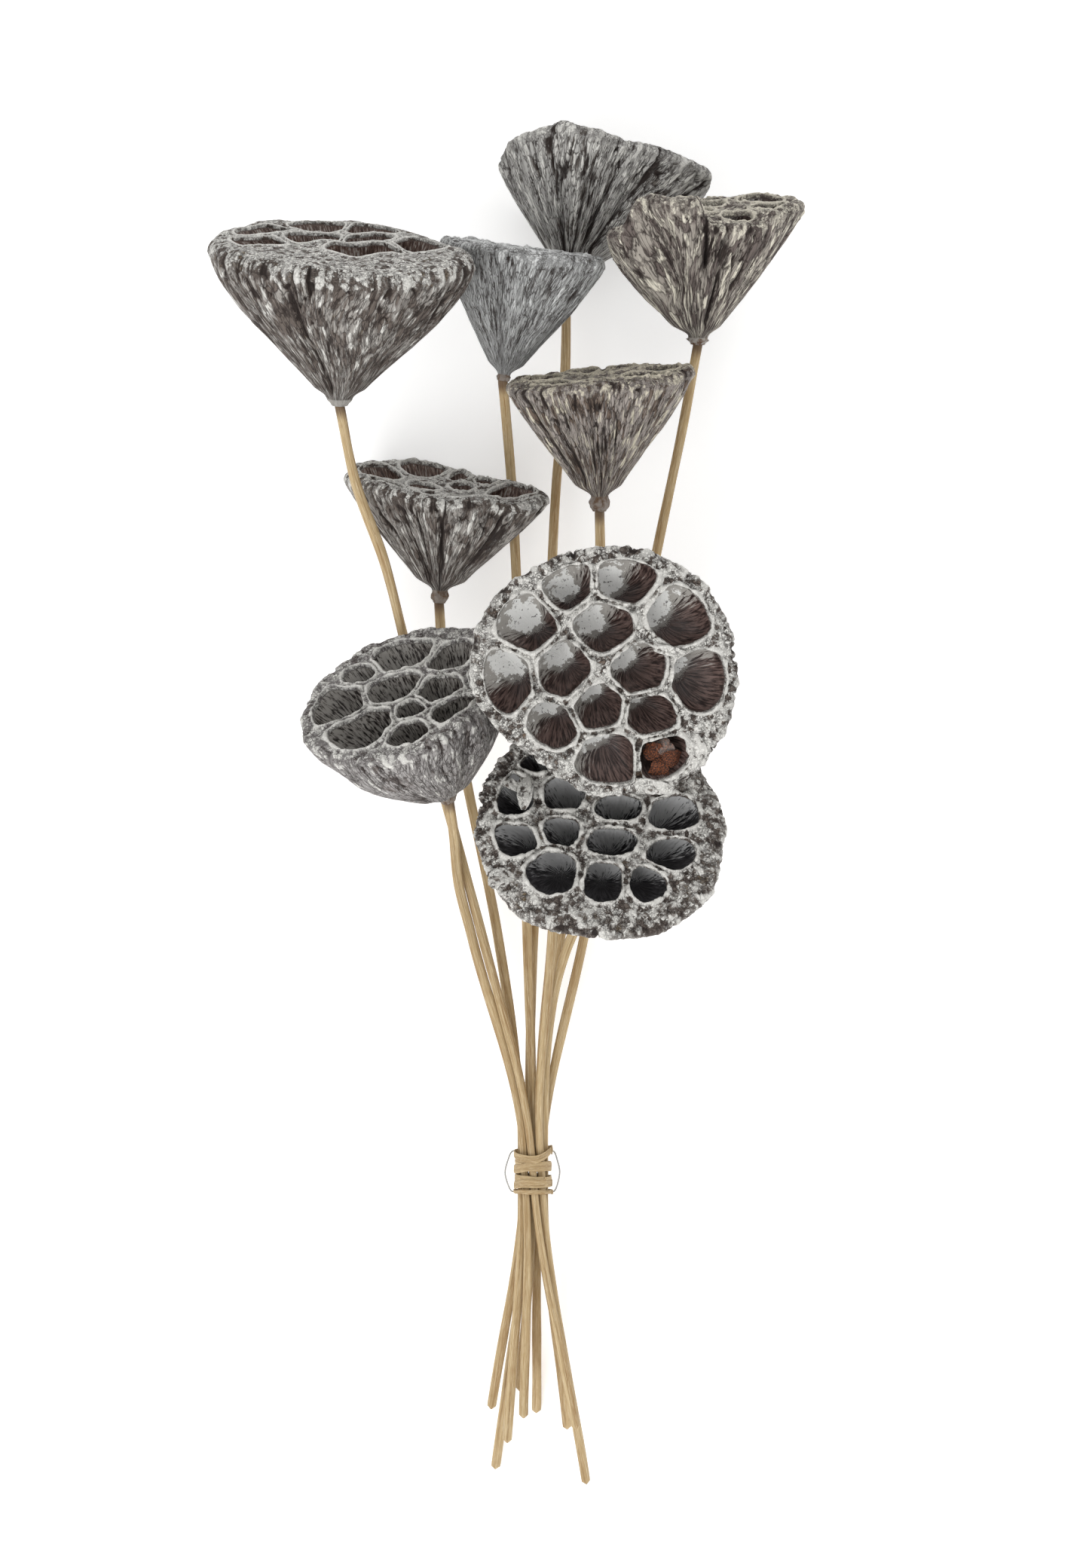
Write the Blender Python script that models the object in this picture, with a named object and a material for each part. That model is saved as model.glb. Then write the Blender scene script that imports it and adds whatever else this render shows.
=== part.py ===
"""A bunch of nine dried lotus pods on flattened sticks, tied with raffia and lying on its side.

The bunch lies along +Y with its pods at the +Y end, and +Z is up. The origin is on the ground, in the
middle of the bunch's outline. Sizes in the tables are millimetres; every mesh is built in metres.
"""

import math
from dataclasses import dataclass

import bmesh
import bpy
from mathutils import Matrix, Vector

MM = 0.001
BUNCH_SHIFT = Vector((12.61, 9.65, 1.5))   # from the layout's own zero to the middle of the outline
GAP = 0.3                               # clearance between pieces that touch

# Pods
RIM_SIDES = 26
RING_HEIGHTS = (0.0, 0.07, 0.16, 0.3, 0.48, 0.68, 0.87)   # share of the pod's height
CONE_POWER = 1.25
BOWL_POWER = 2.0
COLLAR_HEIGHT = 0.07
COLLAR_SWELL = 1.3                      # collar radius over neck radius
LIP_RISE = 1.2
LIP_INSET = 0.95
CELL_SIDES = 8
CELL_FLOOR_DRAW = 0.80                  # how far a cell leans to the pod's axis on its way down
CELL_FLOOR_SIZE = 0.70

# Rings of cells that follow the rim: reach and size as shares of the rim's radius
OUTER_RING = (0.69, 1.36, 0.0)          # reach, size of all its cells together, turn in degrees
INNER_RING = (0.27, 0.60, 40.0)
FEWEST_CELLS = 4                        # a ring of fewer cells has cells of this ring's size
CELL_VARIATION = 0.08
CELL_VARIATION_STEP = 2.4
CELL_ASPECT = 0.92

# Sticks
STICK_SIDES = 8
STEP_LENGTH = 14.0                      # longest straight facet along a stick
STICK_TOP = (3.6, 2.7)                  # width and thickness under the pod
STICK_WAIST = (2.8, 2.7)                # inside the tie
STICK_END = (3.4, 2.6)
STICK_TAPER_LENGTH = 45.0               # from the tie to where a stick has its full width

# Tie
TIE_CENTRE = Vector((-4.2, -140.3, 20.0))
TIE_LENGTH = 16.0
TIE_WALL = 1.3
SLOT_RADIUS = 4.25                      # ring of eight sticks round the ninth
SLOT_TWIST = math.radians(10)           # each stick turns this far on each side of the tie's middle
TIE_SIDES = 28
TIE_EDGE = 0.5                          # how far the band's edges draw in
TIE_SHOULDER = 1.2                      # length of the drawn-in edge
TIE_BELLY = 0.3
TIE_LEAN = 1.3                          # how far the band leans along the bunch from side to side
SLOT_SPREAD = 0.55                      # share of the tie's length where the sticks still lie in their slots

# Clear thread
THREAD_RADIUS = 0.28
THREAD_SIDES = 6
THREAD_STEP = 2.0
THREAD_CLEARANCE = 1.0                  # from the band's own wall to the thread's middle
THREAD_BEHIND = (200, 235, 270, 305, 340)   # degrees where it runs behind the sticks
THREAD_UPPER = 6.6                      # the two runs behind the sticks, along the bunch
THREAD_LOWER = -7.6
THREAD_RIGHT = ((8.9, 3.6, -0.8), (9.7, 0.0, 0.0), (9.1, -4.2, -0.8))
THREAD_LEFT = ((-9.3, -4.4, -0.8), (-10.1, -0.6, 0.0), (-9.2, 3.4, -0.8))


@dataclass(frozen=True)
class Pod:
    """One seed head: a flared woody cup with seed cells open in its flat face."""

    neck: tuple        # where the stick meets it
    face: tuple        # centre of its face
    radii: tuple       # rim radii at eight even steps, from the pod's own +x towards its +y
    roll: float        # turn about its own axis, degrees
    tilt: tuple        # slope of the face along its own x and y
    bowl: tuple        # how round the wall is at the neck and at the rim: 0 a cone, 1 a bowl
    neck_radius: float
    colour: tuple
    cells: tuple = ()  # x, y, half width, half height, turn in degrees, depth
    rings: tuple = ()  # or cells in rings: outer count, inner count, depth, turn in degrees


@dataclass(frozen=True)
class Stick:
    """One flattened stick from a pod's neck, through the tie, to its cut end."""

    route: tuple       # points between the neck and the tie
    slot: float        # place in the tie, degrees from +x towards +z; None is the middle
    end: tuple
    colour: tuple


def smooth_radius(radii, angle):
    """Radius at an angle, smooth through radii given at even steps round the circle."""
    count = len(radii)
    place = (angle % math.tau) / math.tau * count
    index = int(place) % count
    t = place - int(place)
    a, b, c, d = (radii[(index + k) % count] for k in (-1, 0, 1, 2))
    return 0.5 * (2 * b + (c - a) * t + (2 * a - 5 * b + 4 * c - d) * t * t
                  + (3 * b - a - 3 * c + d) * t * t * t)


def pod_cells(pod):
    """The pod's own cells, or cells in two rings that follow its rim."""
    if pod.cells:
        return pod.cells
    outer, inner, depth, start = pod.rings
    cells = []
    for count, (reach, share, turn) in ((outer, OUTER_RING), (inner, INNER_RING)):
        for index in range(count):
            angle = math.radians(start + turn) + math.tau * index / count
            rim = smooth_radius(pod.radii, angle)
            variation = 1.0 + CELL_VARIATION * math.sin(CELL_VARIATION_STEP * index + count)
            size = rim * share / max(count, FEWEST_CELLS) * variation
            cells.append((reach * rim * math.cos(angle), reach * rim * math.sin(angle),
                          size, size * CELL_ASPECT, math.degrees(angle) + 90.0, depth))
    return cells


GREY = (0.23, 0.21, 0.19)
WARM = (0.27, 0.24, 0.19)
PALE = (0.34, 0.33, 0.31)

PODS = {
    "pod_left_top": Pod(
        neck=(-72.8, 134.7, 52), face=(-71.4, 189.1, 69), roll=24,
        radii=(50, 37, 35, 43, 48, 44, 38, 46), tilt=(-0.02, 0.05), bowl=(0.1, 0.8), neck_radius=5.0,
        cells=((-33.3, 6.0, 9.0, 6.0, 24, 15), (-19.2, 21.0, 8.5, 6.0, 24, 15), (-0.2, 25.1, 8.5, 6.0, 24, 14),
               (-14.4, 7.8, 8.5, 5.0, 24, 18), (3.0, 12.9, 8.0, 4.8, 24, 18), (8.8, 2.3, 9.5, 5.5, 24, 19),
               (23.1, 14.7, 8.0, 6.5, 24, 15), (-28.1, -8.1, 8.0, 5.5, 24, 12)),
        colour=GREY),
    "pod_behind_left": Pod(
        neck=(-14.8, 144.2, 42), face=(-8.7, 189.9, 48), roll=32,
        radii=(33, 27, 21, 27, 32, 26, 25, 30), tilt=(0.0, 0.0), bowl=(0.4, 0.6), neck_radius=4.2,
        rings=(7, 1, 17, 0),
        colour=PALE),
    "pod_top": Pod(
        neck=(8.1, 182.7, 20), face=(22.0, 222.3, 26.5), roll=4,
        radii=(38, 32, 25, 31, 37, 30, 18, 21), tilt=(0.24, -0.72), bowl=(0.5, 0.7), neck_radius=4.0,
        rings=(8, 2, 14, 20),
        colour=GREY),
    "pod_right_top": Pod(
        neck=(54.8, 157.3, 42), face=(56.5, 203.5, 53), roll=-28,
        radii=(38, 30, 21, 22, 39, 33, 27, 33), tilt=(0.09, 0.0), bowl=(0.6, 0.8), neck_radius=4.2,
        rings=(8, 2, 16, 8),
        colour=GREY),
    "pod_right_middle": Pod(
        neck=(19.5, 97.0, 52), face=(19.4, 143.4, 60), roll=8,
        radii=(34, 31, 26, 30, 33, 30, 27, 31), tilt=(0.09, 0.04), bowl=(0.4, 0.6), neck_radius=4.4,
        rings=(7, 1, 17, 15),
        colour=WARM),
    "pod_left_middle": Pod(
        neck=(-38.1, 65.6, 23.1), face=(-35.4, 106.0, 29.1), roll=33,
        radii=(42, 24, 19, 32, 40, 34, 27, 34), tilt=(-0.06, 0.12), bowl=(0.3, 0.6), neck_radius=4.4,
        rings=(8, 2, 14, 10),
        colour=GREY),
    "pod_left_low": Pod(
        neck=(-34.2, -5.8, 43.3), face=(-49.9, 32.1, 72.0), roll=0,
        radii=(38, 38, 36, 37, 38, 38, 38, 38), tilt=(0.0, 0.0), bowl=(0.6, 0.8), neck_radius=4.6,
        cells=((0, 21, 9.5, 7.5, -20, 17), (18, 12, 7.5, 7.0, -20, 16), (-16, 16, 5.5, 5.0, 0, 14),
               (-24, 1, 9.0, 9.5, 50, 17), (-3, 2, 9.5, 6.5, -10, 19), (14, -5, 8.0, 6.0, -20, 18),
               (-14, -17, 11.0, 8.5, 25, 18), (3, -13, 5.2, 5.2, 0, 16), (20, -20, 7.5, 6.5, -20, 15),
               (3, -27, 6.2, 6.0, 0, 14), (28.5, -3.5, 3.2, 5.6, 0, 12)),
        colour=GREY),
    "pod_front_large": Pod(
        neck=(12.6, 50.5, 62.9), face=(19.9, 38.0, 118.0), roll=0,
        radii=(47, 45.5, 43, 44.5, 45.5, 38.5, 43, 48.5), tilt=(0.0, 0.0), bowl=(0.3, 0.8), neck_radius=5.0,
        cells=((-27, 18, 9.5, 7.5, -40, 20), (-12, 31, 6.8, 7.6, -30, 19), (7.5, 32.5, 8.6, 7.4, 10, 19),
               (26, 19, 8.4, 8.8, 40, 20), (0, 16, 8.2, 7.2, 0, 22), (-34, -2, 7.8, 8.8, 0, 19),
               (-14, 2, 7.4, 8.2, 0, 22), (12.5, 1.0, 7.8, 7.4, 0, 22), (33, -3, 8.0, 8.6, 10, 19),
               (-1.5, -12, 7.2, 6.8, 20, 22), (-17.5, -17.5, 7.6, 5.8, -35, 19),
               (16.5, -15, 7.2, 6.2, -10, 20), (1.5, -31, 8.6, 8.4, 0, 19), (20.5, -30, 7.4, 6.6, 25, 17)),
        colour=GREY),
    "pod_front_low": Pod(
        neck=(17.8, -32.7, 38.6), face=(17.8, -11.7, 84.0), roll=0,
        radii=(44.5, 41, 41, 40.5, 42, 44.5, 44.5, 49), tilt=(0.0, 0.0), bowl=(0.3, 0.8), neck_radius=4.6,
        cells=((-20, 24, 8.0, 6.4, 10, 16), (-29, 9, 6.6, 7.6, 10, 17), (-11, 9, 6.6, 6.2, 0, 19),
               (8.5, 3.5, 7.8, 4.6, 0, 19), (27, 1, 8.0, 6.0, 0, 18), (19.5, 14.5, 5.2, 4.2, -20, 16),
               (-28.5, -9, 7.6, 5.6, -10, 17), (-12, -5.5, 6.0, 5.2, 0, 19), (5.5, -9.5, 7.8, 5.0, 0, 19),
               (26, -14, 7.4, 5.6, 10, 17), (-15, -21, 7.8, 7.2, -20, 17), (2.5, -24.5, 6.4, 6.6, 0, 16),
               (17.5, -25.5, 5.8, 5.8, 0, 15), (3, 24, 8.2, 6.4, 0, 16)),
        colour=GREY),
}

TAN = (0.47, 0.34, 0.19)
DARK_TAN = (0.34, 0.22, 0.11)

STICKS = {
    "pod_left_top": Stick(route=((-67.5, 108, 47), (-57.5, 80, 40), (-51, 54, 32), (-43, 20, 29.5),
                                 (-36, -5, 29), (-22.5, -55, 27)),
                          slot=90, end=(11.5, -234.0, 20), colour=TAN),
    "pod_behind_left": Stick(route=((-13.6, 130, 31), (-12.0, 110, 19), (-10.7, 86, 16.5), (-8.7, 20, 18.5),
                                    (-6.3, -55, 22)),
                             slot=None, end=(-9.0, -221.2, 12.5), colour=DARK_TAN),
    "pod_top": Stick(route=((7.4, 146, 15), (4.2, 108, 13.5), (0.7, 20, 14.5), (-4, -55, 15)),
                     slot=225, end=(-19.5, -228.0, 11), colour=TAN),
    "pod_right_top": Stick(route=((50, 130, 34), (40, 81, 26), (27, 12, 20.5), (14.4, -55, 20)),
                           slot=315, end=(-3.0, -231.0, -0.3), colour=TAN),
    "pod_right_middle": Stick(route=((19.8, 82, 47), (18, 50, 38), (14, 10, 28), (6, -55, 17)),
                              slot=270, end=(-18.1, -251.6, -0.2), colour=TAN),
    "pod_left_middle": Stick(route=((-37, 50, 24), (-33, 25, 22), (-27, -5, 21), (-17, -55, 19)),
                             slot=180, end=(-13.5, -239.0, 20), colour=TAN),
    "pod_left_low": Stick(route=((-32.6, -18, 35), (-31, -36, 30), (-26.3, -55, 27)),
                          slot=135, end=(-7.6, -229.5, 24), colour=TAN),
    "pod_front_large": Stick(route=((11.2, 51, 50), (9, 40, 40), (7, 20, 35), (5, -20, 33),
                                    (2.8, -55, 31)),
                             slot=45, end=(15.3, -255.4, 11), colour=DARK_TAN),
    "pod_front_low": Stick(route=((16.4, -40, 32), (13.5, -47, 29.5), (9, -57, 28)),
                           slot=0, end=(8.4, -237.0, -0.3), colour=TAN),
}

RAFFIA = (0.42, 0.30, 0.15)
CLEAR = (0.75, 0.76, 0.78)


def remove_everything():
    """Clear the scene that the script starts in."""
    for thing in list(bpy.data.objects):
        bpy.data.objects.remove(thing, do_unlink=True)


def make_material(name, colour, roughness):
    """A plain Principled material."""
    material = bpy.data.materials.new(name)
    material.use_nodes = True
    shader = material.node_tree.nodes["Principled BSDF"]
    shader.inputs["Base Color"].default_value = (*colour, 1.0)
    shader.inputs["Roughness"].default_value = roughness
    shader.inputs["Metallic"].default_value = 0.0
    return material


def add_object(name, bm, matrix, colour, roughness):
    """Turn a bmesh in millimetres, in its own frame, into a placed object in metres."""
    bmesh.ops.recalc_face_normals(bm, faces=bm.faces)
    bmesh.ops.scale(bm, vec=(MM, MM, MM), verts=bm.verts)
    mesh = bpy.data.meshes.new(name)
    bm.to_mesh(mesh)
    bm.free()
    mesh.materials.append(make_material(name, colour, roughness))
    mesh.shade_smooth()
    mesh.set_sharp_from_angle(angle=math.radians(40))
    thing = bpy.data.objects.new(name, mesh)
    bpy.context.scene.collection.objects.link(thing)
    placed = matrix.copy()
    placed.translation = (matrix.translation + BUNCH_SHIFT) * MM
    thing.matrix_world = placed
    return thing


def smooth_route(points, closed=False, step_length=STEP_LENGTH):
    """Points about a step apart on a smooth curve through the given points."""
    points = [Vector(p) for p in points]
    count = len(points)
    spans = count if closed else count - 1
    lengths = [(points[(i + 1) % count] - points[i]).length for i in range(spans)]
    chords = [(points[(i + 1) % count] - points[i]) / lengths[i] for i in range(spans)]
    tangents = []
    for i in range(count):
        if not closed and i in (0, count - 1):
            tangents.append(chords[0] if i == 0 else chords[-1])
            continue
        before, after = lengths[i - 1], lengths[i % spans]
        tangents.append((chords[i - 1] * after + chords[i % spans] * before) / (before + after))
    route = []
    for i in range(spans):
        start, end = points[i], points[(i + 1) % count]
        leave, arrive = tangents[i] * lengths[i], tangents[(i + 1) % count] * lengths[i]
        steps = max(1, round(lengths[i] / step_length))
        for step in range(steps):
            t = step / steps
            route.append(start * (2 * t ** 3 - 3 * t * t + 1) + leave * (t ** 3 - 2 * t * t + t)
                         + end * (3 * t * t - 2 * t ** 3) + arrive * (t ** 3 - t * t))
    if not closed:
        route.append(points[-1])
    return route


def bridge(bm, lower, upper):
    """Join two rings of the same count with quads."""
    count = len(lower)
    for i in range(count):
        j = (i + 1) % count
        bm.faces.new((lower[i], lower[j], upper[j], upper[i]))


# ---------------------------------------------------------------- pods

def pod_axes(pod):
    """The pod's own x, y and z directions in the bunch; z runs from neck to face."""
    axis = (Vector(pod.face) - Vector(pod.neck)).normalized()
    side = (Vector((1, 0, 0)) - axis.x * axis).normalized()
    up = axis.cross(side)
    roll = math.radians(pod.roll)
    side = math.cos(roll) * side - math.sin(roll) * up
    return side, axis.cross(side), axis


def pod_height(pod):
    """Distance from the neck to the centre of the face."""
    return (Vector(pod.face) - Vector(pod.neck)).length


def face_height(pod, x, y):
    """Height of the face over a point of the pod's own x and y."""
    return pod_height(pod) + pod.tilt[0] * x + pod.tilt[1] * y


def wall_ring(bm, pod, share):
    """One ring of the outer wall at a share of the height."""
    roundness = pod.bowl[0] + (pod.bowl[1] - pod.bowl[0]) * share
    cone = share ** CONE_POWER
    spread = cone + (1.0 - (1.0 - share) ** BOWL_POWER - cone) * roundness
    swell = COLLAR_SWELL if abs(share - COLLAR_HEIGHT) < 1e-6 else 1.0
    ring = []
    for i in range(RIM_SIDES):
        angle = math.tau * i / RIM_SIDES
        rim = smooth_radius(pod.radii, angle)
        radius = pod.neck_radius * swell + (rim - pod.neck_radius * swell) * spread
        top = face_height(pod, rim * math.cos(angle), rim * math.sin(angle))
        ring.append(bm.verts.new((radius * math.cos(angle), radius * math.sin(angle), share * top)))
    return ring


def rim_ring(bm, pod, inset, rise):
    """A ring on the rim, drawn in by the inset and lifted by the rise."""
    ring = []
    for i in range(RIM_SIDES):
        angle = math.tau * i / RIM_SIDES
        radius = smooth_radius(pod.radii, angle) * inset
        x, y = radius * math.cos(angle), radius * math.sin(angle)
        ring.append(bm.verts.new((x, y, face_height(pod, x, y) + rise)))
    return ring


def cell_ring(bm, pod, cell, draw, size, sink):
    """One ring of a seed cell, drawn towards the axis, resized and sunk below the face."""
    x, y, half_width, half_height, turn, _depth = cell
    turn = math.radians(turn)
    ring = []
    for i in range(CELL_SIDES):
        angle = math.tau * (i + 0.5) / CELL_SIDES
        across = half_width * size * math.cos(angle)
        along = half_height * size * math.sin(angle)
        px = x * draw + across * math.cos(turn) - along * math.sin(turn)
        py = y * draw + across * math.sin(turn) + along * math.cos(turn)
        ring.append(bm.verts.new((px, py, face_height(pod, px, py) + LIP_RISE - sink)))
    return ring


def ring_edges(bm, ring):
    """The edges round a ring, made where they are missing."""
    edges = []
    for i, vert in enumerate(ring):
        following = ring[(i + 1) % len(ring)]
        edges.append(bm.edges.get((vert, following)) or bm.edges.new((vert, following)))
    return edges


def build_pod(name, pod):
    """Wall, rounded lip, face and open seed cells as one closed body."""
    bm = bmesh.new()
    rings = [wall_ring(bm, pod, share) for share in RING_HEIGHTS]
    rings.append(rim_ring(bm, pod, 1.0, 0.0))
    rings.append(rim_ring(bm, pod, LIP_INSET, LIP_RISE))
    bm.faces.new(rings[0])
    for lower, upper in zip(rings, rings[1:]):
        bridge(bm, lower, upper)
    edges = ring_edges(bm, rings[-1])
    for cell in pod_cells(pod):
        mouth = cell_ring(bm, pod, cell, 1.0, 1.0, 0.0)
        floor = cell_ring(bm, pod, cell, CELL_FLOOR_DRAW, CELL_FLOOR_SIZE, cell[5])
        bridge(bm, mouth, floor)
        bm.faces.new(floor)
        edges += ring_edges(bm, mouth)
    bmesh.ops.triangle_fill(bm, edges=edges, use_beauty=True, normal=(0, 0, 1))
    side, up, axis = pod_axes(pod)
    matrix = Matrix((side, up, axis)).transposed().to_4x4()
    matrix.translation = Vector(pod.neck)
    return add_object(name, bm, matrix, pod.colour, 0.85)


# ---------------------------------------------------------------- sticks

def tie_slot(slot, share):
    """A stick's place in the tie; share runs from 1 at the pods' side to -1 at the cut ends."""
    along = Vector((0, share * TIE_LENGTH * SLOT_SPREAD, 0))
    if slot is None:
        return TIE_CENTRE + along
    angle = math.radians(slot) + share * SLOT_TWIST
    return TIE_CENTRE + along + SLOT_RADIUS * Vector((math.cos(angle), 0, math.sin(angle)))


def stick_size(y):
    """Width and thickness of a stick, slimmest in the tie."""
    top, waist, end = STICK_TOP, STICK_WAIST, STICK_END
    wide = top if y > TIE_CENTRE.y else end
    away = min(1.0, max(0.0, abs(y - TIE_CENTRE.y) - TIE_LENGTH) / STICK_TAPER_LENGTH)
    return tuple(waist[k] + (wide[k] - waist[k]) * away for k in (0, 1))


def build_stick(name, pod, stick):
    """An oval stick swept along its route, from just under the pod's neck to its cut end."""
    neck = Vector(pod.neck)
    axis = pod_axes(pod)[2]
    start = neck - axis * GAP
    points = [start, *stick.route, *(tie_slot(stick.slot, share) for share in (1, 0, -1)), stick.end]
    route = smooth_route(points)
    bm = bmesh.new()
    rings = []
    for i, centre in enumerate(route):
        if i == 0:
            along = -axis
        else:
            along = (route[min(i + 1, len(route) - 1)] - route[i - 1]).normalized()
        side = (Vector((1, 0, 0)) - along.x * along).normalized()
        up = side.cross(along)
        width, thickness = stick_size(centre.y)
        ring = []
        for k in range(STICK_SIDES):
            angle = math.tau * (k + 0.5) / STICK_SIDES
            offset = side * (width / 2 * math.cos(angle)) + up * (thickness / 2 * math.sin(angle))
            ring.append(bm.verts.new(centre + offset - start))
        rings.append(ring)
    bm.faces.new(rings[0])
    bm.faces.new(rings[-1])
    for lower, upper in zip(rings, rings[1:]):
        bridge(bm, lower, upper)
    return add_object(name, bm, Matrix.Translation(start), stick.colour, 0.7)


# ---------------------------------------------------------------- tie and thread

def build_tie():
    """The raffia windings as one closed band round the sticks."""
    inner = SLOT_RADIUS + STICK_WAIST[0] / 2 + GAP
    outer = inner + TIE_WALL
    half = TIE_LENGTH / 2
    shoulder = half - TIE_SHOULDER
    profile = ((inner, -half), (outer - TIE_EDGE, -half), (outer, -shoulder), (outer + TIE_BELLY, 0.0),
               (outer, shoulder), (outer - TIE_EDGE, half), (inner, half))
    bm = bmesh.new()
    columns = []
    for i in range(TIE_SIDES):
        angle = math.tau * i / TIE_SIDES
        lean = TIE_LEAN * math.cos(angle)
        columns.append([bm.verts.new((r * math.cos(angle), along + lean, r * math.sin(angle)))
                        for r, along in profile])
    for i, column in enumerate(columns):
        following = columns[(i + 1) % TIE_SIDES]
        for k in range(len(profile)):
            m = (k + 1) % len(profile)
            bm.faces.new((column[k], column[m], following[m], following[k]))
    return add_object("raffia_tie", bm, Matrix.Translation(TIE_CENTRE), RAFFIA, 0.8)


def build_thread():
    """A thin clear loop that stands out at both sides of the tie and passes under it twice."""
    radius = SLOT_RADIUS + STICK_WAIST[0] / 2 + GAP + TIE_WALL + THREAD_CLEARANCE
    behind = [(radius * math.cos(math.radians(turn)), radius * math.sin(math.radians(turn)))
              for turn in THREAD_BEHIND]
    points = [(x, THREAD_UPPER, z) for x, z in behind] + list(THREAD_RIGHT)
    points += [(x, THREAD_LOWER, z) for x, z in reversed(behind)] + list(THREAD_LEFT)
    route = smooth_route(points, closed=True, step_length=THREAD_STEP)
    bm = bmesh.new()
    rings = []
    for i, centre in enumerate(route):
        along = (route[(i + 1) % len(route)] - route[i - 1]).normalized()
        inward = Vector((centre.x, 0, centre.z))
        side = (inward - inward.dot(along) * along).normalized()
        up = along.cross(side)
        turns = [math.tau * k / THREAD_SIDES for k in range(THREAD_SIDES)]
        rings.append([bm.verts.new(centre + THREAD_RADIUS * (side * math.cos(turn) + up * math.sin(turn)))
                      for turn in turns])
    for i, ring in enumerate(rings):
        bridge(bm, ring, rings[(i + 1) % len(rings)])
    return add_object("clear_thread", bm, Matrix.Translation(TIE_CENTRE), CLEAR, 0.15)


def main():
    """Build the whole bunch."""
    remove_everything()
    for name, pod in PODS.items():
        build_pod(name, pod)
        build_stick(name.replace("pod_", "stem_"), pod, STICKS[name])
    build_tie()
    build_thread()


main()
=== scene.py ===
"""Dresses a bunch of nine dried lotus pods, their flattened sticks, the raffia tie and the clear thread.

The bunch lies along +Y with its pods at the +Y end and +Z up. Sizes in the tables are millimetres in the
bunch's own layout, which is moved by BUNCH_SHIFT and scaled to metres when a piece is made.
"""
import itertools
import logging
import math
from dataclasses import dataclass, field
from enum import Enum

import bpy
import numpy as np
from mathutils.geometry import delaunay_2d_cdt
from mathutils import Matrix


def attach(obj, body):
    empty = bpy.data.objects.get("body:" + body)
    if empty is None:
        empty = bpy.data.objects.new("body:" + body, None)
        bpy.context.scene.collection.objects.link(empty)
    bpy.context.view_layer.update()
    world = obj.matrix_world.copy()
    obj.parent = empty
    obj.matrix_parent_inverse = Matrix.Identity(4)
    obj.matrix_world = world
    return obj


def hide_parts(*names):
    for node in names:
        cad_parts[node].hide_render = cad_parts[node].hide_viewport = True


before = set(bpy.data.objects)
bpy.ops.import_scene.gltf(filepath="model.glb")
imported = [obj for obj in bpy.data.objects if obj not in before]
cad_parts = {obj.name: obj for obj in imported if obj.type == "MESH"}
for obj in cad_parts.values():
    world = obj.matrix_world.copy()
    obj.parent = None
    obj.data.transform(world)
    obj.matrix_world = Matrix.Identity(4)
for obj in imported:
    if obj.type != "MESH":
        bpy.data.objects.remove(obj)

Array = np.ndarray
Colour = tuple[float, float, float]
Point = tuple[float, float, float]
Socket = bpy.types.NodeSocket

LOG = logging.getLogger("lotus_bunch")
MM = 0.001
UNDER_LIGHT = 0.8                                # how much darker a colour is made for the bright light
BUNCH_SHIFT = np.array((12.61, 9.65, 1.5))       # from the layout's own zero to the middle of the outline
BODY = "root"


class Slot(Enum):
    """The record's material slots."""

    GREY = "grey_wash"
    PALE = "pale_wash"
    WARM = "warm_wash"
    STICK = "tan_stick"
    RAFFIA = "raffia"
    THREAD = "clear_thread"


class GroupName(Enum):
    """The shader node groups that the finishes share."""

    FIBRE = "Fibre streaks"
    FLAKES = "Bark flakes"
    CRUMBLE = "Crumbled skin"
    COVER = "Wash cover"
    SPECKS = "Dark specks"


def tint(red: float, green: float, blue: float) -> Colour:
    """Linear colour of a surface that looks like these 0 to 255 values under the studio's bright light."""
    return tuple(UNDER_LIGHT * (c / 255 / 12.92 if c / 255 <= 0.04045 else ((c / 255 + 0.055) / 1.055) ** 2.4)
                 for c in (red, green, blue))


def smooth(value: Array, low: float, high: float) -> Array:
    """A soft step from 0 at low to 1 at high."""
    t = np.clip((value - low) / (high - low), 0.0, 1.0)
    return t * t * (3.0 - 2.0 * t)


def round_blur(values: Array, width: int) -> Array:
    """Averages values that run round a closed ring, along their last axis.

    Args:
        values: the values.
        width: how many neighbours count on each side.

    Returns:
        The softened values.
    """
    total = np.zeros_like(values)
    for step in range(-width, width + 1):
        total += np.roll(values, step, axis=-1) * (width + 1 - abs(step))
    return total / (width + 1) ** 2


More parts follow.
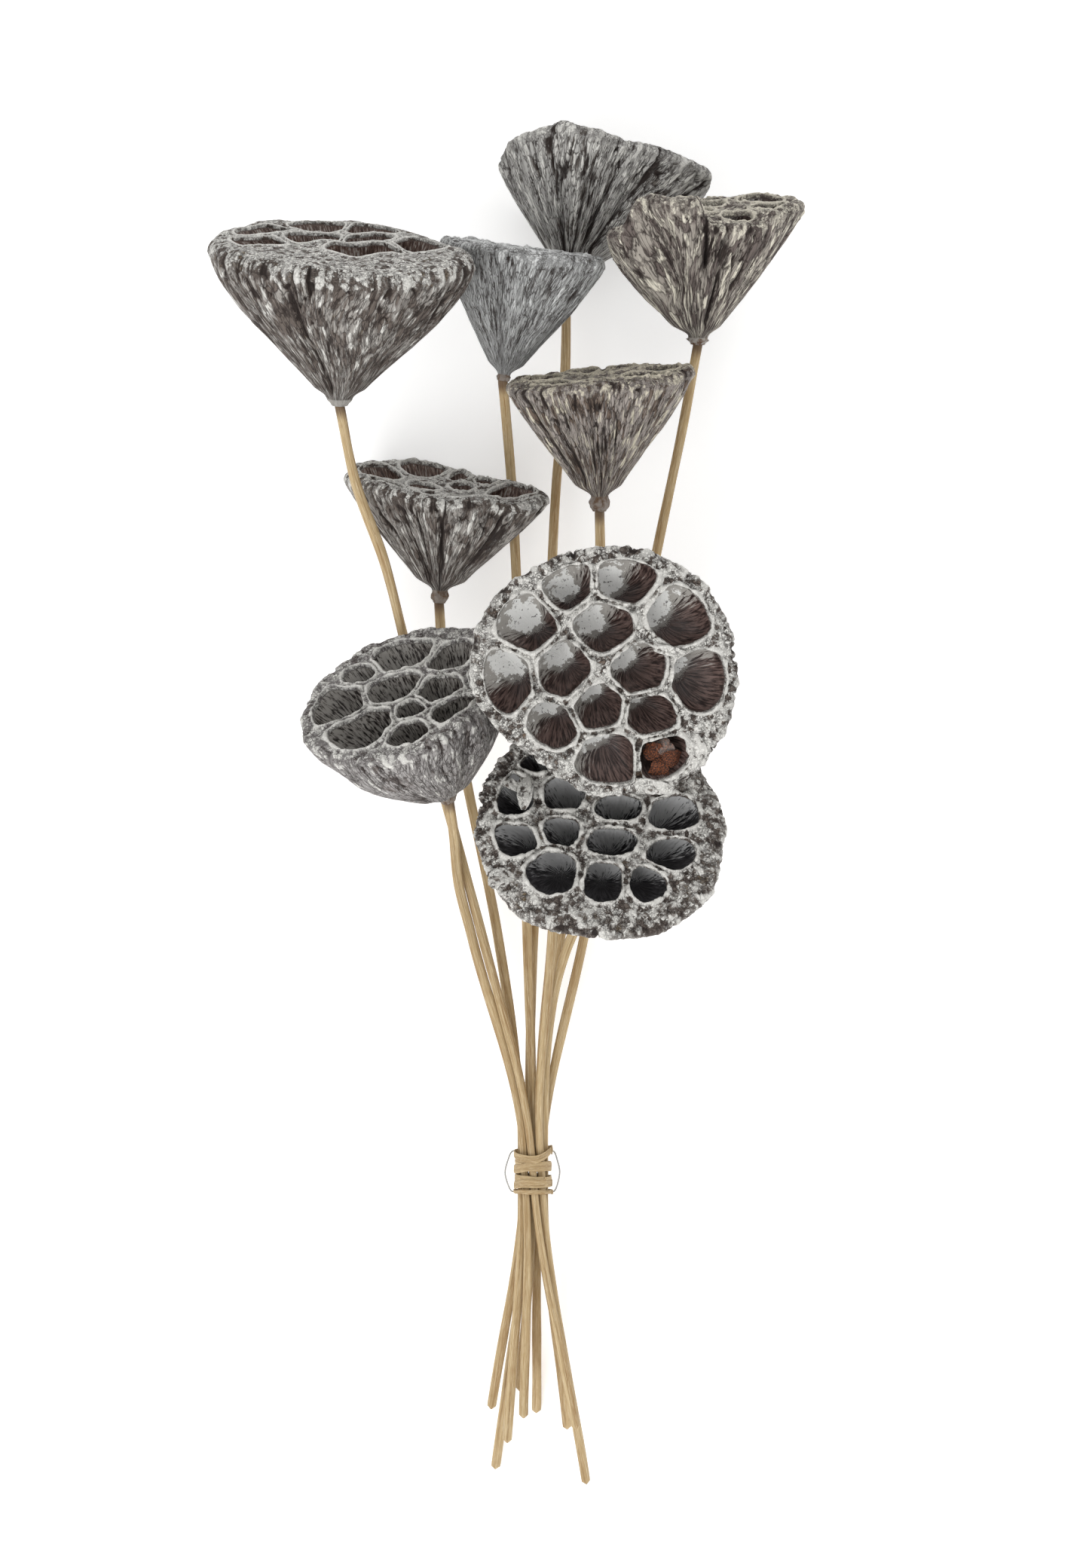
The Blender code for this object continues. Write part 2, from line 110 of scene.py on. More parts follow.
class LatticeNoise:
    """Smooth gradient noise in three dimensions, about -1 to 1, the same for the same seed."""

    GAIN = 1.7           # brings the values to about -1 to 1
    LAYER_SHIFT = 31.7   # keeps the layers' lattices apart

    def __init__(self, seed: int) -> None:
        """Shuffles the lattice.

        Args:
            seed: which noise this is.
        """
        rng = np.random.default_rng(seed)
        self.order = rng.permutation(256)
        slopes = rng.normal(size=(256, 3))
        self.slopes = slopes / np.linalg.norm(slopes, axis=1, keepdims=True)

    def at(self, points: Array, size: float | tuple = 1.0) -> Array:
        """The noise at points.

        Args:
            points: positions, with the three coordinates last.
            size: size of a feature, one number or one for each direction.

        Returns:
            One value for each point.
        """
        where = points / np.asarray(size, float)
        cell = np.floor(where).astype(np.int64)
        part = where - cell
        fade = part ** 3 * (part * (part * 6 - 15) + 10)
        total = np.zeros(where.shape[:-1])
        for corner in itertools.product((0, 1), repeat=3):
            place = cell + corner
            pick = self.order[place[..., 0] & 255]
            pick = self.order[(pick + place[..., 1]) & 255]
            slope = self.slopes[self.order[(pick + place[..., 2]) & 255]]
            weight = np.prod(np.where(np.array(corner) == 1, fade, 1.0 - fade), axis=-1)
            total += weight * ((part - corner) * slope).sum(-1)
        return total * self.GAIN

    def layered(self, points: Array, size: float | tuple, layers: int = 3) -> Array:
        """Noise with finer and fainter noise laid on it.

        Args:
            points: positions.
            size: size of the largest feature.
            layers: how many sizes, each half the last.

        Returns:
            One value for each point.
        """
        size = np.asarray(size, float)
        return sum(self.at(points + self.LAYER_SHIFT * k, size / 2 ** k) * 0.5 ** k for k in range(layers))


class MeshDraft:
    """A mesh being put together from grids, with named values at its points."""

    def __init__(self) -> None:
        """Starts empty."""
        self.points: list[Array] = []
        self.values: list[dict[str, Array]] = []
        self.quads: list[Array] = []
        self.triangles: list[Array] = []
        self.count = 0

    def add_points(self, points: Array, **values: Array | float) -> Array:
        """Adds points.

        Args:
            points: positions, with the three coordinates last.
            values: named values, one for each point or one for all.

        Returns:
            The points' numbers, in the same layout.
        """
        values.setdefault("husk", 0.0)
        shape = points.shape[:-1]
        index = np.arange(self.count, self.count + int(np.prod(shape))).reshape(shape)
        self.points.append(points.reshape(-1, 3))
        flat = {}
        for name, value in values.items():
            value = np.asarray(value, float)
            wide = shape + (3,) if value.shape[-1:] == (3,) and value.shape != shape else shape
            flat[name] = np.broadcast_to(value, wide).reshape(index.size, -1)
        self.values.append(flat)
        self.count += index.size
        return index

    def stitch(self, index: Array) -> None:
        """Joins the rows of a grid of points with quads; each row runs round to its own start.

        Args:
            index: the points' numbers, row by row.
        """
        a, b = index[:-1], index[1:]
        a2, b2 = np.roll(a, -1, axis=1), np.roll(b, -1, axis=1)
        self.quads.append(np.stack([a, a2, b2, b], -1).reshape(-1, 4))

    def fan(self, ring: Array, centre: int, flip: bool = False) -> None:
        """Closes a ring of points with triangles to a centre.

        Args:
            ring: the ring's numbers, in order.
            centre: the middle point's number.
            flip: whether the triangles face the other way.
        """
        following = np.roll(ring, -1)
        first, second = (following, ring) if flip else (ring, following)
        self.triangles.append(np.stack([first, second, np.full_like(ring, centre)], -1))

    def all_points(self) -> Array:
        """Every point so far."""
        return np.concatenate(self.points)

    def all_values(self, name: str) -> Array:
        """One named value at every point so far."""
        return np.concatenate([v[name] for v in self.values])

    def normals(self, points: Array) -> Array:
        """Outward directions at the points.

        Args:
            points: a position for each point of the draft.

        Returns:
            A direction of length one for each point.
        """
        total = np.zeros_like(points)
        for faces in (np.concatenate(self.quads), np.concatenate(self.triangles)):
            a, b = points[faces[:, 1]] - points[faces[:, 0]], points[faces[:, -1]] - points[faces[:, 0]]
            if faces.shape[1] == 4:
                a, b = points[faces[:, 2]] - points[faces[:, 0]], points[faces[:, 3]] - points[faces[:, 1]]
            out = np.cross(a, b)
            for corner in range(faces.shape[1]):
                for k in range(3):
                    total[:, k] += np.bincount(faces[:, corner], out[:, k], minlength=len(points))
        return total / np.maximum(np.linalg.norm(total, axis=1, keepdims=True), 1e-12)

    def build(self, name: str, points: Array) -> bpy.types.Object:
        """Makes the object.

        Args:
            name: the piece's name.
            points: final positions in the layout's millimetres.

        Returns:
            The linked object, at rest at the frame's origin.
        """
        mesh = bpy.data.meshes.new(name)
        quads = np.concatenate(self.quads)
        triangles = np.concatenate(self.triangles) if self.triangles else np.zeros((0, 3), np.int64)
        corners = np.concatenate([quads.ravel(), triangles.ravel()]).astype(np.int32)
        starts = np.concatenate([np.arange(len(quads)) * 4,
                                 len(quads) * 4 + np.arange(len(triangles)) * 3]).astype(np.int32)
        mesh.vertices.add(len(points))
        placed = (points + BUNCH_SHIFT) * MM
        placed[:, 2] = np.maximum(placed[:, 2], 0.0)     # what rests on the floor is pressed flat by it
        mesh.vertices.foreach_set("co", placed.astype(np.float32).ravel())
        mesh.loops.add(len(corners))
        mesh.loops.foreach_set("vertex_index", corners)
        mesh.polygons.add(len(starts))
        mesh.polygons.foreach_set("loop_start", starts)
        mesh.update(calc_edges=True)
        for key in self.values[0]:
            value = self.all_values(key).astype(np.float32)
            vector = value.shape[1] == 3
            layer = mesh.attributes.new(key, "FLOAT_VECTOR" if vector else "FLOAT", "POINT")
            layer.data.foreach_set("vector" if vector else "value", value.ravel())
        mesh.shade_smooth()
        piece = bpy.data.objects.new(name, mesh)
        bpy.context.scene.collection.objects.link(piece)
        return piece


# ---------------------------------------------------------------- shader graphs

class Graph:
    """Adds and joins nodes in one node tree."""

    def __init__(self, tree: bpy.types.NodeTree) -> None:
        """Keeps the tree."""
        self.tree = tree

    def add(self, kind: str, **settings: object) -> bpy.types.Node:
        """A new node.

        Args:
            kind: the node's type.
            settings: its properties by name.

        Returns:
            The node.
        """
        node = self.tree.nodes.new(kind)
        for key, value in settings.items():
            setattr(node, key, value)
        return node

    def feed(self, socket: Socket, value: object) -> None:
        """Links a socket's output to an input, or sets the input's own value.

        Args:
            socket: the input.
            value: another node's output, a number, or a colour or vector.
        """
        if isinstance(value, bpy.types.NodeSocket):
            self.tree.links.new(value, socket)
        elif socket.type == "RGBA":
            socket.default_value = (*value, 1.0)
        else:
            socket.default_value = value

    def maths(self, operation: str, first: object, second: object = 0.0) -> Socket:
        """One sum on numbers.

        Args:
            operation: the sum, as Blender names it.
            first: a socket or a number.
            second: a socket or a number.

        Returns:
            The result's socket.
        """
        node = self.add("ShaderNodeMath", operation=operation)
        self.feed(node.inputs[0], first)
        self.feed(node.inputs[1], second)
        return node.outputs[0]

    def scale(self, vector: Socket, factors: object) -> Socket:
        """A vector times three factors.

        Args:
            vector: the vector.
            factors: a socket, or three numbers.

        Returns:
            The result's socket.
        """
        node = self.add("ShaderNodeVectorMath", operation="MULTIPLY")
        self.feed(node.inputs[0], vector)
        self.feed(node.inputs[1], factors)
        return node.outputs[0]

    def mix(self, share: object, first: object, second: object) -> Socket:
        """A colour between two.

        Args:
            share: from 0 for the first to 1 for the second.
            first: a colour or its socket.
            second: a colour or its socket.

        Returns:
            The mixed colour's socket.
        """
        node = self.add("ShaderNodeMix", data_type="RGBA", clamp_factor=True)
        self.feed(node.inputs[0], share)
        self.feed(node.inputs[6], first)     # A and B of the node's colour sockets
        self.feed(node.inputs[7], second)
        return node.outputs[2]

    def band(self, value: Socket, low: object, high: object, start: float = 0.0, end: float = 1.0) -> Socket:
        """A soft step from start to end while the value goes from low to high.

        Args:
            value: what is measured.
            low: where the step begins.
            high: where it is done.
            start: the result below low.
            end: the result above high.

        Returns:
            The result's socket.
        """
        node = self.add("ShaderNodeMapRange", interpolation_type="SMOOTHSTEP")
        for socket, x in zip(node.inputs, (value, low, high, start, end)):
            self.feed(socket, x)
        return node.outputs[0]

    def between(self, share: Socket, first: Socket, second: Socket) -> Socket:
        """A number between two.

        Args:
            share: from 0 for the first to 1 for the second.
            first: a number's socket.
            second: a number's socket.

        Returns:
            The mixed number's socket.
        """
        node = self.add("ShaderNodeMix", data_type="FLOAT", clamp_factor=True)
        for socket, x in zip((node.inputs[0], node.inputs[2], node.inputs[3]), (share, first, second)):
            self.feed(socket, x)
        return node.outputs[0]

    def bump(self, shader: bpy.types.Node, height: Socket, strength: float, depth: float) -> None:
        """Gives a shader a fine relief.

        Args:
            shader: the material's shader.
            height: the relief, about 0 to 1.
            strength: how far it shows.
            depth: its height in millimetres.
        """
        node = self.add("ShaderNodeBump")
        node.inputs["Strength"].default_value = strength
        node.inputs["Distance"].default_value = depth * MM
        self.feed(node.inputs["Height"], height)
        self.feed(shader.inputs["Normal"], node.outputs[0])

    def noise(self, vector: Socket, size: float = 1.0, detail: float = 3.0, rough: float = 0.55,
              bend: float = 0.0) -> Socket:
        """Noise from 0 to 1.

        Args:
            vector: coordinates.
            size: size of a feature in them.
            detail: how many finer layers lie on it.
            rough: how strong the finer layers are.
            bend: how far the pattern is warped.

        Returns:
            The noise's socket.
        """
        node = self.add("ShaderNodeTexNoise")
        self.feed(node.inputs["Vector"], vector)
        for key, x in (("Scale", 1.0 / size), ("Detail", detail), ("Roughness", rough), ("Distortion", bend)):
            self.feed(node.inputs[key], x)
        return node.outputs["Fac"]

    def value(self, name: str, vector: bool = False) -> Socket:
        """A named value of the mesh."""
        node = self.add("ShaderNodeAttribute", attribute_name=name)
        return node.outputs["Vector" if vector else "Fac"]

    def place(self, group: GroupName, **inputs: object) -> dict[str, Socket]:
        """Puts in a shared group.

        Args:
            group: which one.
            inputs: its inputs by name, with _ for spaces.

        Returns:
            Its outputs by name.
        """
        node = self.add("ShaderNodeGroup", node_tree=bpy.data.node_groups[group.value])
        for key, x in inputs.items():
            self.feed(node.inputs[key.replace("_", " ")], x)
        return {socket.name: socket for socket in node.outputs}


class SharedGroups:
    """Builds each shared shader group once."""

    def open_group(self, name: GroupName, inputs: dict[str, float | str], outputs: list[str]) -> tuple:
        """A new group with its sockets.

        Args:
            name: the group.
            inputs: names with the starting value, or "vector".
            outputs: names of the masks that it puts out.

        Returns:
            The graph, the inner inputs by name and the output node.
        """
        tree = bpy.data.node_groups.new(name.value, "ShaderNodeTree")
        for key, start in inputs.items():
            kind = "NodeSocketVector" if start == "vector" else "NodeSocketFloat"
            socket = tree.interface.new_socket(name=key, in_out="INPUT", socket_type=kind)
            if start != "vector":
                socket.default_value = start
        for key in outputs:
            tree.interface.new_socket(name=key, in_out="OUTPUT", socket_type="NodeSocketFloat")
        graph = Graph(tree)
        source = graph.add("NodeGroupInput")
        return graph, {s.name: s for s in source.outputs if s.name}, graph.add("NodeGroupOutput")

    def stretched(self, graph: Graph, grain: Socket, width: Socket, stretch: Socket) -> Socket:
        """Grain coordinates in features of one size.

        Args:
            graph: the group's graph.
            grain: coordinates with the grain along the third.
            width: a feature's width.
            stretch: its length over its width.

        Returns:
            The scaled coordinates.
        """
        across = graph.maths("DIVIDE", 1.0, width)
        along = graph.maths("DIVIDE", across, stretch)
        join = graph.add("ShaderNodeCombineXYZ")
        for socket, x in zip(join.inputs, (across, across, along)):
            graph.feed(socket, x)
        return graph.scale(grain, join.outputs[0])

    def fibre(self) -> None:
        """Lengthwise streaks: broad ones, fine ones, and thin dark lines."""
        graph, given, out = self.open_group(
            GroupName.FIBRE, {"Grain": "vector", "Width": 1.5, "Stretch": 8.0}, ["Broad", "Fine", "Lines"])
        where = self.stretched(graph, given["Grain"], given["Width"], given["Stretch"])
        graph.feed(out.inputs["Broad"], graph.noise(where, 1.6, 2.0, 0.5, 0.3))
        graph.feed(out.inputs["Fine"], graph.noise(where, 0.55, 4.0, 0.65, 0.2))
        valley = graph.maths("ABSOLUTE", graph.maths("SUBTRACT", graph.noise(where, 1.1, 3.0, 0.6, 0.5), 0.5))
        graph.feed(out.inputs["Lines"], graph.band(valley, 0.0, 0.045, 1.0, 0.0))

    def flakes(self) -> None:
        """Long flakes of bark, each with its own tone, and the cracks between them."""
        graph, given, out = self.open_group(
            GroupName.FLAKES, {"Grain": "vector", "Width": 1.5, "Stretch": 3.5}, ["Tone", "Cracks"])
        where = self.stretched(graph, given["Grain"], given["Width"], given["Stretch"])
        bent = graph.add("ShaderNodeVectorMath", operation="ADD")
        wobble = graph.add("ShaderNodeTexNoise")
        graph.feed(wobble.inputs["Vector"], where)
        wobble.inputs["Scale"].default_value = 1.1
        wobble.inputs["Detail"].default_value = 3.0
        graph.feed(bent.inputs[0], where)
        graph.feed(bent.inputs[1], graph.scale(wobble.outputs["Color"], (1.1, 1.1, 1.1)))
        cells = graph.add("ShaderNodeTexVoronoi", feature="F1")
        edges = graph.add("ShaderNodeTexVoronoi", feature="DISTANCE_TO_EDGE")
        for node in (cells, edges):
            graph.feed(node.inputs["Vector"], bent.outputs[0])
            node.inputs["Scale"].default_value = 1.0
        split = graph.add("ShaderNodeSeparateColor")
        graph.feed(split.inputs[0], cells.outputs["Color"])
        graph.feed(out.inputs["Tone"], split.outputs[0])
        graph.feed(out.inputs["Cracks"], graph.band(edges.outputs["Distance"], 0.01, 0.11, 1.0, 0.0))

    def crumble(self) -> None:
        """Lumpy, wrinkled skin without a direction."""
        graph, given, out = self.open_group(
            GroupName.CRUMBLE, {"Place": "vector", "Size": 2.0}, ["Lumps", "Wrinkles"])
        where = graph.scale(given["Place"], self.same(graph, graph.maths("DIVIDE", 1.0, given["Size"])))
        graph.feed(out.inputs["Lumps"], graph.noise(where, 1.0, 5.0, 0.62, 0.4))
        valley = graph.maths("ABSOLUTE", graph.maths("SUBTRACT", graph.noise(where, 0.8, 4.0, 0.6, 1.2), 0.5))
        graph.feed(out.inputs["Wrinkles"], graph.band(valley, 0.0, 0.06, 1.0, 0.0))

    def same(self, graph: Graph, factor: Socket) -> Socket:
        """One factor for all three directions.

        Args:
            graph: the group's graph.
            factor: the factor.

        Returns:
            It as a vector.
        """
        join = graph.add("ShaderNodeCombineXYZ")
        for socket in join.inputs:
            graph.feed(socket, factor)
        return join.outputs[0]

    def cover(self) -> None:
        """Where a wash lies: on what stands up, broken by a texture."""
        graph, given, out = self.open_group(
            GroupName.COVER, {"Relief": 0.0, "Texture": 0.5, "Amount": 0.5, "Softness": 0.2}, ["Cover"])
        height = graph.maths("MULTIPLY", given["Relief"], 0.18)
        height = graph.maths("ADD", height, given["Texture"])
        edge = graph.maths("SUBTRACT", 1.0, given["Amount"])
        low = graph.maths("SUBTRACT", edge, given["Softness"])
        high = graph.maths("ADD", edge, given["Softness"])
        graph.feed(out.inputs["Cover"], graph.band(height, low, high))

    def specks(self) -> None:
        """Small scattered spots of uneven size."""
        graph, given, out = self.open_group(
            GroupName.SPECKS, {"Place": "vector", "Size": 3.0, "Share": 0.3}, ["Specks"])
        where = graph.scale(given["Place"], self.same(graph, graph.maths("DIVIDE", 1.0, given["Size"])))
        cells = graph.add("ShaderNodeTexVoronoi", feature="F1")
        graph.feed(cells.inputs["Vector"], where)
        cells.inputs["Scale"].default_value = 1.0
        split = graph.add("ShaderNodeSeparateColor")
        graph.feed(split.inputs[0], cells.outputs["Color"])
        reach = graph.maths("MULTIPLY", graph.maths("SUBTRACT", given["Share"], split.outputs[0]), 0.8)
        ragged = graph.maths("MULTIPLY", graph.noise(where, 0.22, 2.0), 0.22)
        near = graph.maths("ADD", cells.outputs["Distance"], ragged)
        graph.feed(out.inputs["Specks"], graph.band(graph.maths("SUBTRACT", reach, near), -0.04, 0.04))

    def build(self) -> None:
        """Makes every shared group."""
        self.fibre()
        self.flakes()
        self.crumble()
        self.cover()
        self.specks()


@dataclass(frozen=True)
class WashFinish:
    """Dried, paint-washed pod skin: dark cracks, painted shade in the creases, grey bark, a pale brushed
    wash, and painted seed cells darkened towards their floors with painted shade.
    """

    # dark cracks and lines, and the painted shade in creases, furrows and pits
    crack_and_crease_shade: Colour = tint(46, 36, 32)
    bark: Colour = tint(112, 102, 95)
    wash: Colour = tint(168, 163, 157)
    chalk: Colour = tint(242, 240, 234)
    stain: Colour = tint(150, 132, 102)
    husk: Colour = tint(150, 84, 48)
    speck: Colour = tint(28, 24, 24)
    collar: Colour = tint(182, 170, 160)
    neck: Colour = tint(128, 100, 76)
    cell_dark: Colour = tint(40, 28, 25)
    cell_brown: Colour = tint(92, 76, 70)
    cell_wash: Colour = tint(176, 172, 166)
    dab: Colour = tint(250, 250, 247)
    dark_amount: float = 0.89      # share of the skin that isn't dark: dark grain or painted crease shade
    wash_amount: float = 0.52      # shares that the wash and the chalk cover
    chalk_amount: float = 0.36
    rim_chalk: float = 0.5         # the chalk's share on the rim and face
    stain_share: float = 0.25
    speck_share: float = 0.12
    flake_share: float = 0.25      # how far flakes rather than streaks break up the wash
    flake_width: float = 1.1
    streak_width: float = 1.0
    crumb: float = 1.8             # size of the crumbs on the rim and face
    cell_amount: float = 0.35      # share of a cell's wall that brushed paint covers
    cell_rough: float = 0.5
    dab_edge: float = 9.0          # paint at which the thick dab starts; out of reach unless it is lowered
    bump_strength: float = 0.75
    bump_depth: float = 0.9

    def material(self, name: str) -> bpy.types.Material:
        """The finished material.

        Args:
            name: the material's name.

        Returns:
            A material that reads the pod's own named values.
        """
        material = bpy.data.materials.new(name)
        material.use_nodes = True
        graph = Graph(material.node_tree)
        shader = material.node_tree.nodes["Principled BSDF"]
        masks = self.masks(graph)
        skin, wash, marks = self.skin(graph, masks)
        inside = self.inside(graph, masks)
        graph.feed(shader.inputs["Base Color"], self.joined(graph, masks, skin, inside))

        dull = graph.maths("SUBTRACT", 0.9, graph.maths("MULTIPLY", wash, 0.12))
        gloss = graph.maths("ADD", graph.maths("MULTIPLY", masks["ribs"], 0.25), self.cell_rough - 0.12)
        graph.feed(shader.inputs["Roughness"], graph.between(masks["within"], dull, gloss))
        shader.inputs["Specular IOR Level"].default_value = 0.4

        rough_side = graph.maths("ADD", graph.maths("MULTIPLY", masks["fine"], 0.6),
                                 graph.maths("MULTIPLY", masks["flakes"], 0.35))
        rough_face = graph.maths("ADD", masks["lumps"], graph.maths("MULTIPLY", masks["chips"], 0.3))
        outer = graph.maths("SUBTRACT", graph.between(masks["face"], rough_side, rough_face),
                            graph.maths("MULTIPLY", marks, 0.4))
        height = graph.between(masks["within"], outer, graph.maths("MULTIPLY", masks["fine_ribs"], 0.35))
        graph.bump(shader, height, self.bump_strength, self.bump_depth)
        return material

    def masks(self, graph: Graph) -> dict[str, Socket]:
        """The named values and the shared textures that the finish is mixed from.

        Args:
            graph: the material's graph.

        Returns:
            Their sockets by name.
        """
        masks = {name: graph.value(name, name in ("grain", "place"))
                 for name in ("grain", "place", "relief", "face", "cavity", "paint", "neck", "husk")}
        grain, place = masks["grain"], masks["place"]
        fibre = graph.place(GroupName.FIBRE, Grain=grain, Width=self.streak_width, Stretch=9.0)
        ribs = graph.place(GroupName.FIBRE, Grain=grain, Width=0.75, Stretch=9.0)
        flakes = graph.place(GroupName.FLAKES, Grain=grain, Width=self.flake_width, Stretch=4.0)
        chips = graph.place(GroupName.FLAKES, Grain=place, Width=1.9, Stretch=1.0)
        crumble = graph.place(GroupName.CRUMBLE, Place=place, Size=self.crumb)
        masks.update(
            broad=fibre["Broad"], fine=fibre["Fine"], lines=fibre["Lines"], ribs=ribs["Broad"],
            fine_ribs=ribs["Fine"], flakes=flakes["Tone"], cracks=flakes["Cracks"], chips=chips["Tone"],
            chip_cracks=chips["Cracks"], lumps=crumble["Lumps"], wrinkles=crumble["Wrinkles"],
            cloud=graph.noise(place, 15.0, 2.0, 0.5), within=graph.band(masks["cavity"], 0.02, 0.10))
        return masks

    def skin(self, graph: Graph, masks: dict[str, Socket]) -> tuple[Socket, Socket, Socket]:
        """The outer skin: bark, stain, wash and chalk, with dark cracks and specks, and painted shade where
        the relief lies low.

        Args:
            graph: the material's graph.
            masks: what masks() made.

        Returns:
            The colour, where the wash lies, and where the cracks are.
        """
        relief, face = masks["relief"], masks["face"]
        grained = graph.maths("ADD", graph.maths("MULTIPLY", masks["broad"], 0.45),
                              graph.maths("MULTIPLY", masks["fine"], 0.55))
        toned = graph.maths("ADD", graph.maths("MULTIPLY", grained, 1.0 - self.flake_share),
                            graph.maths("MULTIPLY", masks["flakes"], self.flake_share))
        lumpy = graph.maths("ADD", graph.maths("MULTIPLY", masks["lumps"], 0.75),
                            graph.maths("MULTIPLY", masks["chips"], 0.25))
        given = {"Relief": relief, "Texture": graph.between(face, toned, lumpy)}
        # the dark colour covers low relief as painted shade, and low grain texture as the skin's own dark
        # tone
        dark = graph.place(GroupName.COVER, Amount=self.dark_amount, Softness=0.16, **given)
        skin = graph.mix(dark["Cover"], self.crack_and_crease_shade, self.bark)
        stained = graph.maths("MULTIPLY", graph.band(masks["cloud"], 0.62 - self.stain_share * 0.4,
                                                     0.80 - self.stain_share * 0.4),
                              graph.band(masks["flakes"], 0.25, 0.7))
        skin = graph.mix(graph.maths("MULTIPLY", stained, 0.75), skin, self.stain)
        patchy = graph.maths("MULTIPLY", graph.maths("SUBTRACT", masks["cloud"], 0.5), 0.5)
        spread = graph.maths("ADD", patchy, self.wash_amount)
        wash = graph.place(GroupName.COVER, Amount=spread, Softness=0.07, **given)
        skin = graph.mix(wash["Cover"], skin, self.wash)
        rimmed = graph.maths("ADD", graph.maths("MULTIPLY", face, self.rim_chalk - self.chalk_amount),
                             self.chalk_amount)
        chalk = graph.place(GroupName.COVER, Amount=rimmed, Softness=0.04, **given)
        skin = graph.mix(chalk["Cover"], skin, self.chalk)
        cracks = graph.maths("MULTIPLY", graph.between(face, masks["cracks"], masks["chip_cracks"]), 0.8)
        lines = graph.maths("MULTIPLY", graph.between(face, masks["lines"], masks["wrinkles"]), 0.95)
        marks = graph.maths("MULTIPLY", graph.maths("MAXIMUM", cracks, lines),
                            graph.band(relief, -0.3, 0.9, 1.0, 0.25))
        skin = graph.mix(marks, skin, self.crack_and_crease_shade)
        # painted shade: the crease colour darkens the skin where the relief lies lowest
        skin = graph.mix(graph.band(relief, -1.0, -0.35, 0.9, 0.0), skin, self.crack_and_crease_shade)
        specks = graph.place(GroupName.SPECKS, Place=masks["place"], Size=3.2, Share=self.speck_share)
        side = graph.maths("SUBTRACT", 1.0, face)
        skin = graph.mix(graph.maths("MULTIPLY", specks["Specks"], side), skin, self.speck)
        return skin, wash["Cover"], marks

    def inside(self, graph: Graph, masks: dict[str, Socket]) -> Socket:
        """The seed cells: ribbed brown walls with brushed paint, a thick, chipped dab, and painted shade
        towards the floor.

        Args:
            graph: the material's graph.
            masks: what masks() made.

        Returns:
            The colour.
        """
        place, paint = masks["place"], masks["paint"]
        inside = graph.mix(graph.band(masks["fine_ribs"], 0.38, 0.62), self.cell_dark, self.cell_brown)
        brushed = graph.place(GroupName.COVER, Relief=graph.maths("MULTIPLY", paint, 4.0),
                              Texture=masks["fine_ribs"], Amount=self.cell_amount, Softness=0.07)
        inside = graph.mix(brushed["Cover"], inside, self.cell_wash)
        uneven = graph.maths("SUBTRACT", graph.noise(place, 3.0, 5.0, 0.7), 0.5)
        dab = graph.maths("ADD", graph.maths("MULTIPLY", uneven, 2.6), paint)
        dabbed = graph.band(dab, self.dab_edge, self.dab_edge + 0.1)
        inside = graph.mix(dabbed, inside, self.dab)
        chipped = graph.band(graph.noise(place, 1.6, 4.0, 0.7), 0.6, 0.64, 0.0, 0.8)
        inside = graph.mix(graph.maths("MULTIPLY", chipped, dabbed), inside, self.cell_dark)
        # painted shade: the cell darkens towards its floor wherever the dab of paint doesn't lie
        floor_shade = graph.band(masks["cavity"], 0.6, 1.0, 0.0, 0.35)
        unpainted = graph.maths("SUBTRACT", 1.0, dabbed)
        return graph.mix(graph.maths("MULTIPLY", floor_shade, unpainted), inside, self.cell_dark)

    def joined(self, graph: Graph, masks: dict[str, Socket], skin: Socket, inside: Socket) -> Socket:
        """The skin and the cells in one, with the collar and the bare husk.

        Args:
            graph: the material's graph.
            masks: what masks() made.
            skin: the skin's colour.
            inside: the cells' colour.

        Returns:
            The colour.
        """
        colour = graph.mix(masks["within"], skin, inside)
        collared = graph.mix(graph.band(masks["lumps"], 0.35, 0.6), self.neck, self.collar)
        colour = graph.mix(graph.band(masks["neck"], 0.2, 0.8), colour, collared)
        bare = graph.mix(graph.band(masks["fine_ribs"], 0.4, 0.65), self.cell_dark, self.husk)
        return graph.mix(masks["husk"], colour, bare)


@dataclass(frozen=True)
class StrawFinish:
    """Split reed, cane or raffia: pale and brown lengthwise stripes."""

    dark: Colour = tint(164, 128, 78)
    middle: Colour = tint(212, 184, 136)
    pale: Colour = tint(238, 218, 178)
    burnt: Colour = tint(84, 56, 34)
    stripe: float = 0.9
    stretch: float = 60.0
    rough: float = 0.55
    bump_strength: float = 0.6
    bump_depth: float = 0.25

    def material(self, name: str) -> bpy.types.Material:
        """The finished material.

        Args:
            name: the material's name.

        Returns:
            A material that reads the piece's grain and burnt values.
        """
        material = bpy.data.materials.new(name)
        material.use_nodes = True
        graph = Graph(material.node_tree)
        shader = material.node_tree.nodes["Principled BSDF"]
        grain = graph.value("grain", True)
        fibre = graph.place(GroupName.FIBRE, Grain=grain, Width=self.stripe, Stretch=self.stretch)
        thin = graph.place(GroupName.FIBRE, Grain=grain, Width=self.stripe * 0.4, Stretch=self.stretch * 0.6)
        colour = graph.mix(graph.band(fibre["Broad"], 0.32, 0.62), self.dark, self.middle)
        colour = graph.mix(graph.band(thin["Fine"], 0.42, 0.72), colour, self.pale)
        colour = graph.mix(graph.maths("MULTIPLY", thin["Lines"], 0.45), colour, self.dark)
        patch = graph.noise(grain, 26.0, 2.0)
        colour = graph.mix(graph.band(patch, 0.52, 0.75, 0.0, 0.35), colour, self.dark)
        colour = graph.mix(graph.value("burnt"), colour, self.burnt)
        graph.feed(shader.inputs["Base Color"], colour)
        graph.feed(shader.inputs["Roughness"],
                   graph.maths("ADD", graph.maths("MULTIPLY", thin["Fine"], 0.3), self.rough - 0.15))
        height = graph.maths("SUBTRACT", thin["Fine"], graph.maths("MULTIPLY", fibre["Lines"], 0.5))
        graph.bump(shader, height, self.bump_strength, self.bump_depth)
        return material


